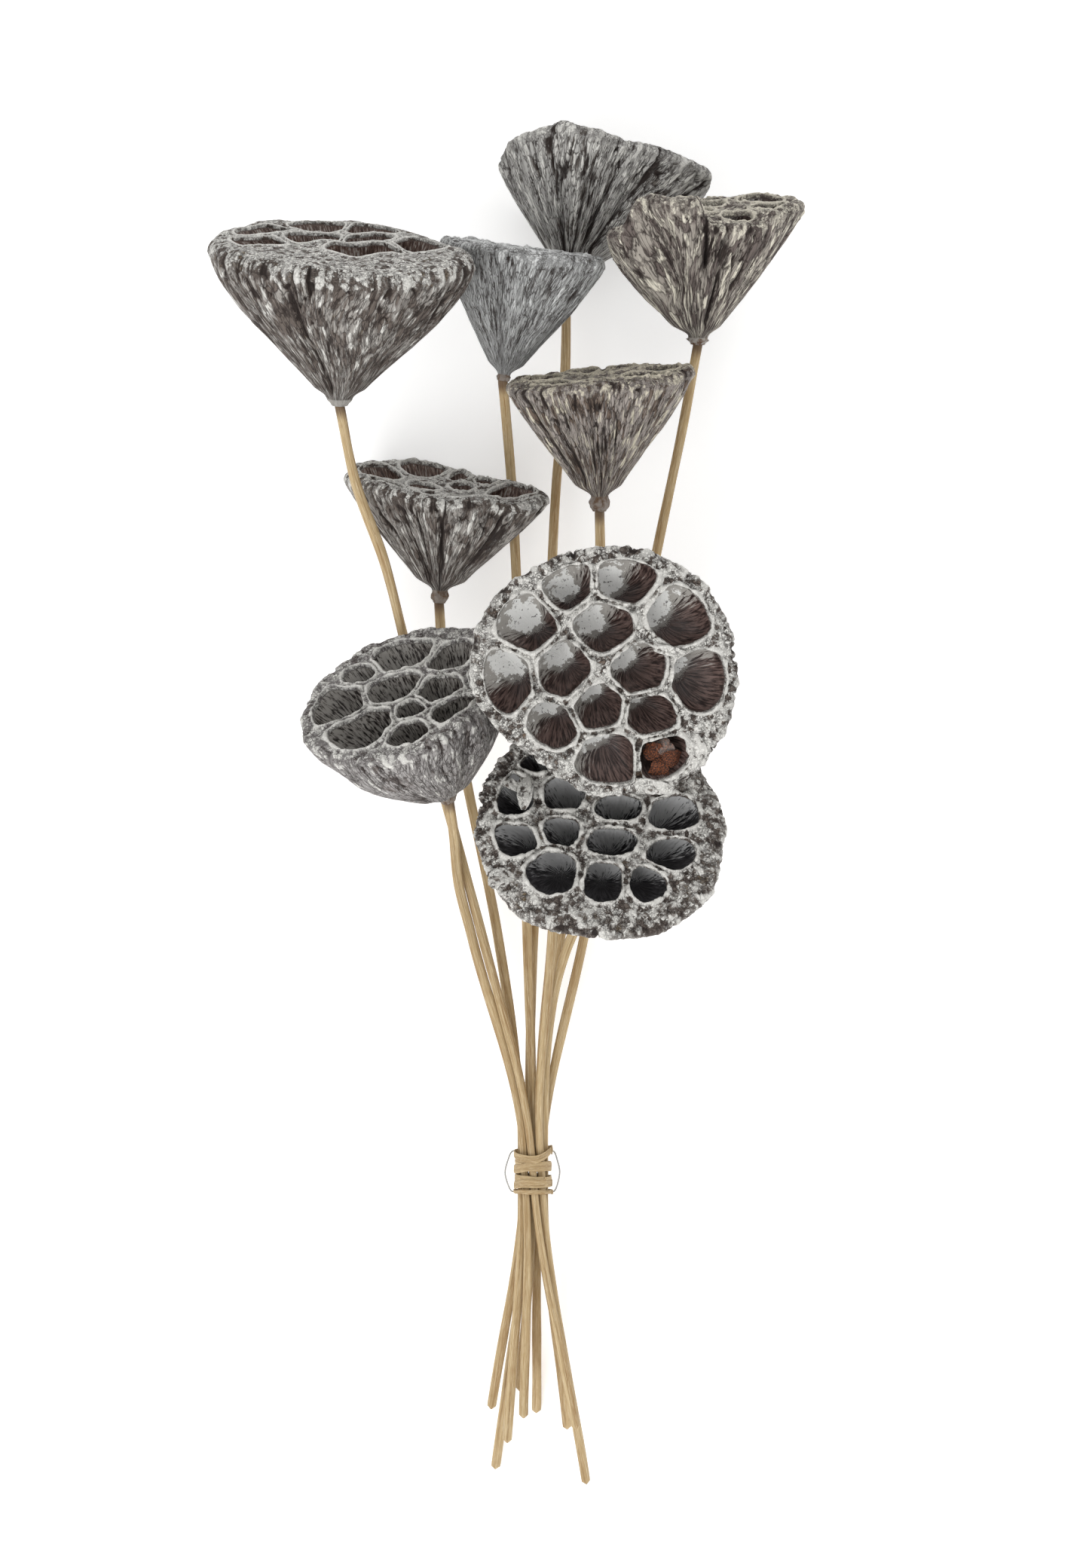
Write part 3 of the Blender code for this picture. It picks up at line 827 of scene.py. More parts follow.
@dataclass(frozen=True)
class ThreadFinish:
    """Clear drawn thread."""

    body: Colour = tint(214, 214, 212)
    clearness: float = 0.6
    rough: float = 0.18

    def material(self, name: str) -> bpy.types.Material:
        """The finished material, faintly cloudy along its length.

        Args:
            name: the material's name.

        Returns:
            A clear material.
        """
        material = bpy.data.materials.new(name)
        material.use_nodes = True
        graph = Graph(material.node_tree)
        shader = material.node_tree.nodes["Principled BSDF"]
        fibre = graph.place(GroupName.FIBRE, Grain=graph.value("grain", True), Width=0.3, Stretch=12.0)
        graph.feed(shader.inputs["Base Color"], graph.mix(fibre["Broad"], tint(180, 180, 178), self.body))
        graph.feed(shader.inputs["Roughness"],
                   graph.maths("ADD", graph.maths("MULTIPLY", fibre["Fine"], 0.15), self.rough))
        shader.inputs["Transmission Weight"].default_value = self.clearness
        return material


# ---------------------------------------------------------------- pods

@dataclass(frozen=True)
class Cell:
    """One open seed cell in a pod's face, in the face's own x and y."""

    x: float
    y: float
    half_width: float
    half_height: float
    turn: float
    depth: float

    def reach(self, angle: Array) -> Array:
        """Distance from the middle to the edge at an angle, as an oval."""
        local = angle - math.radians(self.turn)
        return 1.0 / np.sqrt((np.cos(local) / self.half_width) ** 2 + (np.sin(local) / self.half_height) ** 2)


@dataclass(frozen=True)
class Fold:
    """A crease or swelling that runs up a pod's side."""

    facing: float       # degrees from the side that lies uppermost; positive to the right
    depth: float        # inwards; negative swells out
    width: float
    low: float          # share of the pod's height where it starts
    high: float         # and where it ends; over 1 it cuts the rim
    lean: float = 0.0   # degrees that it drifts from the neck to the rim
    crisp: float = 0.5  # 0 a soft dent, 1 a sharp crease with a line of painted shade


@dataclass(frozen=True)
class Flap:
    """A torn scrap of dry skin that stands up from the face and curls over."""

    x: float
    y: float
    sink: float         # how far its root is below the face
    turn: float         # degrees, the way it points
    length: float
    width: float
    lift: float = 60.0  # degrees, how steeply it starts
    curl: float = 70.0  # degrees that it bends over on its way
    husk: float = 0.0   # 1 for bare brown husk


@dataclass(frozen=True)
class PodShape:
    """Sizes of one seed head, repeated from the CAD source with its finer marks."""

    neck: Point                          # where the stick ends and the pod starts
    face: Point                          # middle of the face
    radii: tuple                         # rim radii at eight even steps
    roll: float                          # degrees that the radii are turned about the pod's axis
    tilt: tuple                          # slope of the face along its own x and y
    bowl: tuple                          # how rounded the wall is, low down and at the rim
    cells: tuple
    seed: int
    folds: tuple = ()
    rim_round: float = 2.4               # radius of the rim's edge
    rim_band: float = 3.2                # least width of skin between the rim and a cell
    septum: float = 1.8                  # thickness of the walls between cells
    grow: float = 1.18                   # how far a cell's mouth spreads where there is room
    lip: float = 0.8                     # height of a cell's raised edge
    swells: float = 0.8                  # depth of the broad swellings, and so on down to the slots
    furrow: float = 1.5
    slots: float = 1.1
    cone_power: float = 1.2              # over 1 draws the wall in above the neck
    tip_radius: float = 3.4
    nip: float = 0.75                    # how far the wall draws in above the collar
    collar: tuple = (3.0, 3.0, 1.5)      # radius of the stub, radius and height of the collar
    wings: tuple = ()                    # rise of the rim, degrees from the uppermost side, and half width
    flaps: tuple = ()
    ribs: float = 0.22                   # height of the ribs in the cells
    lumps: float = 0.55                  # height of the lumps on the rim and face
    wave: float = 1.2                    # height of the face's slow waves
    crinkle: float = 0.9                 # how far the rim rises and falls
    paint_lean: tuple = (-0.5, 0.6)      # the side of each cell that the paint lies on
    paint_amount: float = 0.3
    dab: float = 0.0                     # strength of the thick dab of paint on a cell's floor
    shallow: float = 1.0                 # share of the cells' depth that is left open


OUTER_RING = (0.69, 1.36, 0.0)          # reach, size of all its cells together, turn in degrees
INNER_RING = (0.27, 0.60, 40.0)
FEWEST_CELLS = 4                        # a ring of fewer cells has cells of this ring's size


def ring_cells(radii: tuple, outer: int, inner: int, depth: float, start: float = 0.0) -> tuple:
    """Seed cells in two rings that follow the rim, sized as shares of its radius.

    Args:
        radii: rim radii at eight even steps.
        outer: cells in the outer ring.
        inner: cells in the inner ring.
        depth: how deep they go.
        start: where the rings start, in degrees.

    Returns:
        The cells.
    """
    cells = []
    for count, (reach, half_size, offset) in ((outer, OUTER_RING), (inner, INNER_RING)):
        for index in range(count):
            angle = math.radians(start + offset) + math.tau * index / count
            rim = float(smooth_radius(radii, np.array(angle)))
            size = rim * half_size / max(count, FEWEST_CELLS) * (1.0 + 0.08 * math.sin(2.4 * index + count))
            cells.append(Cell(reach * rim * math.cos(angle), reach * rim * math.sin(angle),
                              size, size * 0.92, math.degrees(angle) + 90.0, depth))
    return tuple(cells)


def smooth_radius(radii: tuple, angle: Array) -> Array:
    """Radius at an angle, smooth through radii given at even steps round the circle.

    Args:
        radii: the given radii, from angle zero on.
        angle: where the radius is wanted.

    Returns:
        The radius at each angle.
    """
    values = np.asarray(radii, float)
    place = (angle % math.tau) / math.tau * len(radii)
    index = np.floor(place).astype(int) % len(radii)
    t = place - np.floor(place)
    a, b, c, d = (values[(index + k) % len(radii)] for k in (-1, 0, 1, 2))
    return 0.5 * (2 * b + (c - a) * t + (2 * a - 5 * b + 4 * c - d) * t * t
                  + (3 * b - a - 3 * c + d) * t ** 3)


class FaceBounds:
    """Where the skin of a face may lie: inside the rim and outside the cells' lips."""

    def __init__(self, rim_points: Array, cells: tuple, angle: Array, lips: list[Array]) -> None:
        """Keeps the borders.

        Args:
            rim_points: the rim's inner ring.
            cells: the seed cells.
            angle: angles at which the lips are measured.
            lips: outer radius of each cell's lip at those angles.
        """
        turn = np.arctan2(rim_points[:, 1], rim_points[:, 0])
        order = np.argsort(turn)
        self.rim_angle = turn[order]
        self.rim_reach = np.hypot(rim_points[:, 0], rim_points[:, 1])[order]
        self.cells, self.angle, self.lips = cells, angle, lips

    def inside_rim(self, spots: Array) -> Array:
        """How far spots are inside the rim."""
        rim = np.interp(np.arctan2(spots[:, 1], spots[:, 0]), self.rim_angle, self.rim_reach, period=math.tau)
        return rim - np.hypot(spots[:, 0], spots[:, 1])

    def outside_lip(self, spots: Array, number: int) -> Array:
        """How far spots are outside one cell's lip.

        Args:
            spots: their x and y.
            number: which cell.

        Returns:
            The distance for each spot, negative inside.
        """
        away = spots - np.array((self.cells[number].x, self.cells[number].y))
        turn = np.arctan2(away[:, 1], away[:, 0]) % math.tau
        lip = np.interp(turn, self.angle, self.lips[number], period=math.tau)
        return np.hypot(away[:, 0], away[:, 1]) - lip

    def clear(self, spots: Array) -> Array:
        """Which spots stand clear of every border.

        Args:
            spots: their x and y.

        Returns:
            True or false for each spot.
        """
        keep = self.inside_rim(spots) > 0.5
        for number in range(len(self.cells)):
            keep &= self.outside_lip(spots, number) > 0.4
        return keep

    def fill(self, flat: Array, counts: list[int]) -> Array:
        """Triangles between the borders.

        Args:
            flat: x and y of the points: the rim, each cell's lip, then the spots between.
            counts: how many points the rim and each lip have.

        Returns:
            The triangles, as three rows of flat each.
        """
        starts = np.concatenate([[0], np.cumsum(counts)])
        loops = [np.arange(a, b) for a, b in zip(starts, starts[1:])]
        edges = np.concatenate([np.stack([loop, np.roll(loop, -1)], -1) for loop in loops])
        owner = np.full(len(flat), len(loops))
        for number, loop in enumerate(loops):
            owner[loop] = number
        found = delaunay_2d_cdt([tuple(p) for p in flat.tolist()], edges.tolist(), [], 0, 1e-6)
        source = np.array([ids[0] if ids else -1 for ids in found[3]])
        triangles = source[np.array([face for face in found[2] if len(face) == 3])]
        triangles = triangles[(triangles >= 0).all(1)]
        middle, owner = flat[triangles].mean(1), owner[triangles]
        alone = (owner == owner[:, :1]).all(1)
        drop = alone & (owner[:, 0] == 0) & (self.inside_rim(middle) < 0)
        for number in range(len(self.cells)):
            drop |= alone & (owner[:, 0] == number + 1) & (self.outside_lip(middle, number) < 0)
        return triangles[~drop]


@dataclass
class Pod:
    """Builds and dresses one seed head: wall, crumpled rim, face, and open cells with raised lips."""

    name: str
    shape: PodShape
    finish: WashFinish
    slot: Slot
    column_step: float = 0.62
    row_step: float = 0.72
    face_step: float = 0.95
    cell_sides: int = 96
    cell_row_step: float = 0.75
    rim_rows: int = 6
    draft: MeshDraft = field(default_factory=MeshDraft)

    FIBRE_RADIUS = 26.0
    # sizes of the bark's features: across, across, and along the fibres
    BROAD_SIZE = (10.0, 10.0, 34.0)
    FURROW_SIZE = (5.0, 5.0, 40.0)
    SLOT_SIZE = (2.2, 2.2, 9.0)
    RIDGE_SIZE = (2.1, 2.1, 15.0)
    FINE_SIZE = (1.0, 1.0, 4.5)
    # rings of a cell's lip: share of its spread, millimetres inwards, share of its height, millimetres down
    LIP_ROWS = ((1.0, 0.0, 0.0, 0.0), (0.62, 0.0, 0.6, 0.0), (0.25, 0.0, 1.0, 0.0),
                (0.0, 0.0, 0.85, 0.0), (0.0, 0.22, 0.3, 0.0), (0.0, 0.3, 0.0, 0.6))

    def __post_init__(self) -> None:
        """Works out the axes and the noise."""
        neck, face = np.array(self.shape.neck, float), np.array(self.shape.face, float)
        self.height = float(np.linalg.norm(face - neck))
        axis = (face - neck) / self.height
        side = np.array((1.0, 0, 0)) - axis[0] * axis
        side /= np.linalg.norm(side)
        up = np.cross(axis, side)
        roll = math.radians(self.shape.roll)
        side = math.cos(roll) * side - math.sin(roll) * up
        self.axes = np.array((side, np.cross(axis, side), axis))
        self.noise = [LatticeNoise(self.shape.seed * 10 + k) for k in range(6)]

    def circle(self, angle: Array, z: Array | float = 0.0, radius: float = FIBRE_RADIUS) -> Array:
        """Fibre coordinates: round the pod at one radius, and along it."""
        return np.stack(np.broadcast_arrays(radius * np.cos(angle), radius * np.sin(angle), z), -1)

    def folds(self, angle: Array, share: Array, radius: Array) -> tuple:
        """The pod's folds at points of its wall.

        Args:
            angle: round the pod.
            share: up the pod, from 0 to 1.
            radius: of the wall without folds.

        Returns:
            How far the folds press in, and how much painted shade lies in their creases.
        """
        total = np.zeros(np.broadcast(angle, share).shape)
        shade = np.zeros_like(total)
        for fold in self.shape.folds:
            middle = math.radians(self.shape.roll - 90.0 + fold.facing) + math.radians(fold.lean) * share
            across = (angle - middle + math.pi) % math.tau - math.pi
            across = across * np.maximum(radius, 6.0) / fold.width
            soft, sharp = np.exp(-across ** 2), np.exp(-np.abs(across) * 1.7)
            ends = smooth(share, fold.low - 0.08, fold.low + 0.08)
            ends = ends * (1 - smooth(share, fold.high - 0.07, fold.high + 0.07))
            total += fold.depth * ends * (soft + (sharp - soft) * fold.crisp)
            shade += fold.crisp * ends * np.exp(-np.abs(across) * 2.4) * min(max(fold.depth, 0.0) / 1.5, 1.2)
        return total, shade

    def rim(self, angle: Array) -> Array:
        """Radius of the rim, with the folds that reach it.

        Args:
            angle: round the pod.

        Returns:
            The radius at each angle.
        """
        base = smooth_radius(self.shape.radii, angle)
        wobble = self.noise[0].at(self.circle(angle, 7.0), 9.0) * 0.9
        return base + wobble - self.folds(angle, np.ones_like(angle), base)[0]

    def face_height(self, x: Array, y: Array) -> Array:
        """Height of the face: its slope, slow waves, and a rim that rises and falls.

        Args:
            x: across the pod.
            y: across the pod, square to x.

        Returns:
            The height above the neck at each point.
        """
        shape = self.shape
        angle, reach = np.arctan2(y, x), np.hypot(x, y)
        flat = np.stack([x, y, np.zeros_like(x)], -1)
        wave = self.noise[1].layered(flat, 17.0, 2) * shape.wave
        edge = self.noise[2].layered(self.circle(angle, 3.0), 7.0, 2) * shape.crinkle
        share = reach / smooth_radius(shape.radii, angle)
        wing = 0.0
        for rise, facing, width in shape.wings:
            middle = math.radians(shape.roll - 90.0 + facing)
            away = np.degrees((angle - middle + math.pi) % math.tau - math.pi)
            wing = wing + rise * (1 - smooth(np.abs(away) / width, 0.72, 1.1)) * smooth(share, 0.35, 0.95)
        return (self.height + shape.tilt[0] * x + shape.tilt[1] * y + 1.0 + wave + wing
                + edge * smooth(share, 0.72, 0.97))

    def bark(self, angle: Array, share: Array, z: Array) -> tuple:
        """Furrows, slots and ridges of the wall.

        Args:
            angle: round the pod.
            share: up the pod, from 0 to 1.
            z: distance from the neck.

        Returns:
            How far out the bark stands, its relief for the finish, and the fibre coordinates.
        """
        shape = self.shape
        sway = self.noise[3].at(self.circle(angle, z * 0.5), 14.0) * 0.09
        grain = self.circle(angle + sway, z)
        strength = 0.25 + 0.75 * smooth(share, 0.05, 0.7)
        upper = smooth(share, 0.4, 0.85)
        broad = self.noise[5].layered(grain, self.BROAD_SIZE, 2)
        furrow = 1 - smooth(np.abs(self.noise[0].at(grain, self.FURROW_SIZE)), 0.0, 0.13)
        furrow *= smooth(self.noise[3].at(grain + 17.0, (8.0, 8.0, 18.0)), -0.1, 0.35)
        slots = 1 - smooth(np.abs(self.noise[1].at(grain, self.SLOT_SIZE)), 0.0, 0.16)
        slots *= smooth(self.noise[4].at(grain + 29.0, (4.0, 4.0, 6.0)), 0.0, 0.35) * upper
        ridges = self.noise[2].layered(grain, self.RIDGE_SIZE, 2)
        fine = self.noise[4].layered(grain, self.FINE_SIZE, 2)
        cut = shape.furrow * furrow * strength + shape.slots * slots
        out = shape.swells * broad * strength - cut + (0.36 * ridges + 0.22 * fine) * strength
        relief = np.clip((0.2 * ridges + 0.32 * fine) / 0.45, -0.7, 0.7) - np.clip(cut * 0.85, 0, 1.2)
        return out, relief, grain

    def wall(self) -> Array:
        """The outer wall from the neck to the rim, then over the rim to the face.

        Returns:
            The inner ring of the rim, where the face starts.
        """
        shape, draft = self.shape, self.draft
        columns = int(math.tau * max(shape.radii) / self.column_step)
        rows = int(math.hypot(self.height, max(shape.radii)) / self.row_step)
        angle = np.linspace(0, math.tau, columns, endpoint=False)
        rim = self.rim(angle)
        inner = rim - shape.rim_round
        top = self.face_height(inner * np.cos(angle), inner * np.sin(angle)) - shape.rim_round
        share = (np.linspace(0, 1, rows) ** 1.05)[:, None]
        z = share * top
        roundness = shape.bowl[0] + (shape.bowl[1] - shape.bowl[0]) * share
        cone = share ** shape.cone_power
        spread = cone + (1 - (1 - share) ** 2 - cone) * roundness
        plain = smooth_radius(shape.radii, angle) + (rim - smooth_radius(shape.radii, angle)) * share ** 2
        radius = shape.tip_radius + (plain - shape.tip_radius) * spread
        pressed, shade = self.folds(angle[None], share, radius)
        radius -= pressed * (1 - share ** 6)
        bark, relief, grain = self.bark(angle[None] + 0 * share, share + 0 * angle[None], z)
        tall = shape.collar[2]
        near = smooth(z, tall, tall + 5.0)
        radius = self.collar(angle, z) * (1 - near) + radius * near + bark * smooth(z, tall, 12.0)
        wall = np.stack([radius * np.cos(angle), radius * np.sin(angle), z], -1)
        # the folds' painted crease shade lowers the relief, so the finish paints their creases dark
        relief = relief - shade
        index = draft.add_points(wall, grain=grain, relief=relief, cavity=0.0, paint=0.0, place=wall,
                                 neck=1 - smooth(z, tall, tall + 1.6), face=smooth(share, 0.93, 1.0) * 0.6,
                                 lump=smooth(share, 0.86, 1.0))
        draft.stitch(index)
        middle = draft.add_points(np.zeros((1, 3)), grain=np.zeros(3), relief=0.0, cavity=0.0, paint=0.0,
                                  place=np.zeros(3), neck=1.0, face=0.0, lump=0.0)
        draft.fan(index[0], int(middle[0]), flip=True)
        arc = self.rim_edge(angle, rim, top, radius[-1] - rim, relief[-1])
        draft.stitch(np.concatenate([index[-1:], arc]))
        return arc[-1]

    def collar(self, angle: Array, z: Array) -> Array:
        """Radius of the stub and the knobbly collar under the wall.

        Args:
            angle: round the pod.
            z: distance from the neck.

        Returns:
            The radius at each point.
        """
        stub, bead, tall = self.shape.collar
        nip = self.shape.nip
        radius = np.interp(z, (0, 0.7, 1.4, 0.8 + tall / 2, tall, tall + 1.2),
                           (stub * 0.9, stub, bead * 0.93, bead, bead * (0.45 + 0.55 * nip), bead * nip))
        knobs = self.noise[5].layered(self.circle(angle[None], z, 4.0), 2.2, 2)
        return radius + 0.32 * knobs * smooth(z, 0.5, 1.5)

    def rim_edge(self, angle: Array, rim: Array, top: Array, loose: Array, relief: Array) -> Array:
        """The rounded edge between the wall and the face.

        Args:
            angle: round the pod.
            rim: radius of the rim.
            top: height where the wall ends.
            loose: how far the wall's bark stands out past the rim.
            relief: the bark's relief at the wall's end.

        Returns:
            The points' numbers, row by row.
        """
        turns = np.linspace(0, math.pi / 2, self.rim_rows + 1)[1:, None]
        radius = rim - self.shape.rim_round * (1 - np.cos(turns)) + loose * np.cos(turns) ** 0.5
        z = top + self.shape.rim_round * np.sin(turns)
        points = np.stack(np.broadcast_arrays(radius * np.cos(angle), radius * np.sin(angle), z), -1)
        grain = self.circle(angle[None] + 0 * turns, z)
        return self.draft.add_points(points, grain=grain, relief=relief * np.cos(turns), cavity=0.0,
                                     paint=0.0, place=points, neck=0.0, face=0.6 + 0.4 * np.sin(turns),
                                     lump=1.0)

    def outlines(self) -> tuple:
        """Mouths of the seed cells, kept apart by thin walls.

        Returns:
            The angles, each mouth's radius, and the furthest that its lip may spread.
        """
        shape = self.shape
        angle = np.linspace(0, math.tau, self.cell_sides, endpoint=False)
        steps = np.arange(0.5, 20, 0.2)
        direction = np.stack([np.cos(angle), np.sin(angle)], -1)
        last = np.arange(len(steps)) == len(steps) - 1
        mouths, limits = [], []
        for number, cell in enumerate(shape.cells):
            spots = np.array((cell.x, cell.y)) + steps[None, :, None] * direction[:, None, :]
            mine = steps[None] / cell.reach(angle)[:, None]
            others = np.full(mine.shape, 9.0)
            for other in shape.cells:
                if other is not cell:
                    away = spots - np.array((other.x, other.y))
                    others = np.minimum(others, np.hypot(away[..., 0], away[..., 1])
                                        / other.reach(np.arctan2(away[..., 1], away[..., 0])))
            rim = self.rim(np.arctan2(spots[..., 1], spots[..., 0]))
            outside = rim - np.hypot(spots[..., 0], spots[..., 1])
            between = steps[np.argmax((mine > others) | last, axis=1)]
            room = steps[np.argmax((outside < shape.rim_round + shape.rim_band) | last, axis=1)]
            limit = np.minimum(between, room + shape.rim_band * 0.5)
            free = np.maximum(np.minimum(between - shape.septum / 2, room), 1.4)
            wish = cell.reach(angle) * shape.grow
            wish *= 1 + 0.07 * self.noise[4].at(self.circle(angle, number * 9.0, 3.0), 2.5)
            mouth = (wish ** -6.0 + free ** -6.0) ** (-1 / 6.0)
            mouth = np.minimum(round_blur(mouth, 2), np.maximum(limit - 0.45, 1.2))
            mouths.append(mouth)
            limits.append(np.minimum(np.minimum(limit, np.roll(limit, 1)), np.roll(limit, -1)))
        return angle, np.array(mouths), np.array(limits)

    def open_cell(self, number: int, angle: Array, mouth: Array, limit: Array) -> tuple:
        """One seed cell: its raised lip, ribbed wall and rounded floor.

        Args:
            number: which cell.
            angle: angles of its sides.
            mouth: its radius at each angle.
            limit: the furthest that its lip may spread.

        Returns:
            The numbers, positions and radii of the lip's outer ring.
        """
        top, rings = self.lip(number, angle, mouth, limit)
        self.cavity(number, angle, mouth, top, rings[-1])
        spread = self.lip_spread(mouth, limit)
        return top[0], rings[0], mouth + spread

    def lip_spread(self, mouth: Array, limit: Array) -> Array:
        """How wide a cell's lip is at each angle."""
        return np.clip((limit - mouth) * 0.8, 0.12, 1.5)

    def lip(self, number: int, angle: Array, mouth: Array, limit: Array) -> tuple:
        """A seed cell's raised, ragged lip.

        Args:
            number: which cell.
            angle: angles of its sides.
            mouth: its radius at each angle.
            limit: the furthest that its lip may spread.

        Returns:
            The numbers and positions of its rings, from the outermost in.
        """
        cell = self.shape.cells[number]
        ragged = self.noise[5].layered(self.circle(angle, number * 11.0, 5.0), 1.9, 2)
        spread = self.lip_spread(mouth, limit)
        height = self.shape.lip * (1.0 + 0.6 * ragged)
        rings = []
        for out, inward, rise, drop in self.LIP_ROWS:
            reach = mouth + (out * spread - inward)
            x, y = cell.x + reach * np.cos(angle), cell.y + reach * np.sin(angle)
            rings.append(np.stack([x, y, self.face_height(x, y) + (rise * height - drop)], -1))
        rings = np.array(rings)
        soft = np.linspace(0, 1, len(rings))[:, None]
        grain = np.stack([rings[..., 0], rings[..., 1], 200 + 0 * rings[..., 2]], -1)
        crest = np.array((0.0, 0.55, 0.95, 0.8, 0.3, 0.0))[:, None]
        top = self.draft.add_points(rings, grain=grain, relief=crest + 0.25 * ragged * soft, cavity=0.0,
                                    paint=0.0, place=rings, neck=0.0, face=1.0, lump=1 - 0.7 * soft)
        return top, rings

    def cavity(self, number: int, angle: Array, mouth: Array, top: Array, edge: Array) -> None:
        """A seed cell's ribbed wall and rounded, painted floor.

        Args:
            number: which cell.
            angle: angles of its sides.
            mouth: its radius at each angle.
            top: the lip's numbers, which the wall joins.
            edge: positions of the lip's inner ring.
        """
        shape, cell, draft = self.shape, self.shape.cells[number], self.draft
        centre = np.array((cell.x, cell.y))
        depth = cell.depth * shape.shallow
        rows = max(10, int(depth / self.cell_row_step))
        share = (np.arange(1, rows + 1) / (rows + 1))[:, None]
        round_off = np.clip(1 - np.clip((share - 0.4) / 0.6, 0, 1) ** 2.4, 0, 1) ** 0.55
        swell = 1 + 0.05 * np.sin(math.pi * np.clip(share * 1.6, 0, 1))
        fibre = self.circle(angle[None] + 0.25 * share, share * depth + number * 40.0, 5.0)
        rib = self.noise[4].at(fibre, (0.75, 0.75, 9.0)) + 0.5 * self.noise[3].at(fibre, (0.4, 0.4, 5.0))
        size = (mouth - 0.3) * (1 - 0.3 * share)
        reach = size * round_off * swell + shape.ribs * rib * (1 - smooth(share, 0.6, 0.95))
        drawn = centre * (1 - 0.2 * share)[..., None]
        x, y = drawn[..., 0] + reach * np.cos(angle), drawn[..., 1] + reach * np.sin(angle)
        level = float(self.face_height(np.array(centre[0]), np.array(centre[1]))) - 0.6
        z = edge[None, :, 2] * (1 - share) + level * share - (depth - 1.0) * share
        points = np.stack(np.broadcast_arrays(x, y, z), -1)
        paint = self.cell_paint(angle, share, reach / np.maximum(size, 1e-3))
        body = draft.add_points(points, grain=fibre, relief=rib * 0.5, place=points, neck=0.0, face=1.0,
                                cavity=0.06 + 0.94 * share + 0 * angle, paint=paint, lump=0.0)
        draft.stitch(np.concatenate([top, body]))
        low = points[-1].mean(0)
        low[2] = z[-1].mean() - 0.25
        middle = draft.add_points(low[None], grain=fibre[-1].mean(0), relief=0.0, cavity=1.0, place=low,
                                  paint=float(paint[-1].mean()), neck=0.0, face=1.0, lump=0.0)
        draft.fan(body[-1], int(middle[0]))

    def cell_paint(self, angle: Array, share: Array, reach: Array) -> Array:
        """How much paint lies in a cell: a brushed side, and a dab on the floor.

        Args:
            angle: angles of its sides.
            share: down the cell, from 0 to 1.
            reach: distance from its middle as a share of its size.

        Returns:
            The paint at each point.
        """
        x, y = reach * np.cos(angle), reach * np.sin(angle)
        lean_x, lean_y = self.shape.paint_lean
        brushed = self.shape.paint_amount * (x * lean_x + y * lean_y) * 1.4
        spot = np.hypot(x - lean_x * 0.5, y - lean_y * 0.5) / 0.8
        return brushed + self.shape.dab * (1 - np.clip(spot, 0, 1) ** 2) * smooth(share, 0.3, 0.6)

    def face_skin(self, rim_ring: Array) -> None:
        """The skin between the rim and the cells.

        Args:
            rim_ring: the rim's inner ring.
        """
        shape, draft = self.shape, self.draft
        angle, mouths, limits = self.outlines()
        rings = [self.open_cell(k, angle, mouths[k], limits[k]) for k in range(len(shape.cells))]
        rim_points = draft.all_points()[rim_ring]
        bounds = FaceBounds(rim_points, shape.cells, angle, [outer for _, _, outer in rings])
        spots = self.face_spots()
        spots = spots[bounds.clear(spots)]
        place = np.column_stack([spots, self.face_height(spots[:, 0], spots[:, 1])])
        grain = np.column_stack([spots, np.full(len(spots), 200.0)])
        inside = draft.add_points(place, grain=grain, relief=0.0, cavity=0.0, paint=0.0, place=place,
                                  neck=0.0, face=1.0, lump=1.0)
        borders = [(rim_ring, rim_points)] + [(numbers, points) for numbers, points, _ in rings]
        index = np.concatenate([numbers for numbers, _ in borders] + [inside])
        flat = np.concatenate([points[:, :2] for _, points in borders] + [spots])
        draft.triangles.append(index[bounds.fill(flat, [len(numbers) for numbers, _ in borders])])

    def face_spots(self) -> Array:
        """A slightly shaken triangular grid over the whole face.

        Returns:
            The x and y of each spot.
        """
        reach = max(self.shape.radii) * 1.1
        step = self.face_step
        x, y = np.meshgrid(np.arange(-reach, reach, step), np.arange(-reach, reach, step * 0.87))
        x = x + (np.arange(x.shape[0]) % 2)[:, None] * step / 2
        spots = np.stack([x.ravel(), y.ravel()], -1)
        rng = np.random.default_rng(self.shape.seed)
        return spots + rng.uniform(-0.16, 0.16, spots.shape)

    def flap(self, flap: Flap) -> None:
        """One torn scrap, as a thin closed plate.

        Args:
            flap: its place, size and bend.
        """
        steps, sides = 16, 24
        share = np.linspace(0, 1, steps)
        pitch = np.radians(flap.lift - flap.curl * share)
        turn = math.radians(flap.turn)
        ahead = np.array((math.cos(turn), math.sin(turn), 0.0))
        aside = np.array((-math.sin(turn), math.cos(turn), 0.0))
        heading = np.cos(pitch)[:, None] * ahead + np.sin(pitch)[:, None] * np.array((0, 0, 1.0))
        upright = -np.sin(pitch)[:, None] * ahead + np.cos(pitch)[:, None] * np.array((0, 0, 1.0))
        root = float(self.face_height(np.array(flap.x), np.array(flap.y))) - flap.sink
        middle = np.cumsum(heading, 0) * flap.length / steps + np.array((flap.x, flap.y, root))
        angle = np.linspace(0, math.tau, sides, endpoint=False)
        wander = self.circle(angle, flap.x, 3.0)[None] + share[:, None, None] * 6
        ragged = self.noise[1].layered(wander, 2.6, 2)
        half = flap.width / 2 * (np.sin(math.pi * (0.16 + 0.8 * share)) ** 0.6)[:, None] * (1 + 0.22 * ragged)
        across = half * np.cos(angle)
        bowed = 0.12 * across ** 2 / flap.width * 2 + 0.3 * np.sin(angle) + 0.3 * ragged
        points = middle[:, None] + across[..., None] * aside + bowed[..., None] * upright[:, None]
        given = {"cavity": 0.0, "paint": 0.0, "neck": 0.0, "face": 1.0, "lump": 0.0, "husk": flap.husk}
        index = self.draft.add_points(points, grain=points, relief=0.5 + ragged, place=points, **given)
        self.draft.stitch(index)
        for ring, spot, flip in ((index[0], points[0].mean(0), True), (index[-1], points[-1].mean(0), False)):
            tip = self.draft.add_points(spot[None], grain=spot, relief=0.5, place=spot, **given)
            self.draft.fan(ring, int(tip[0]), flip=flip)

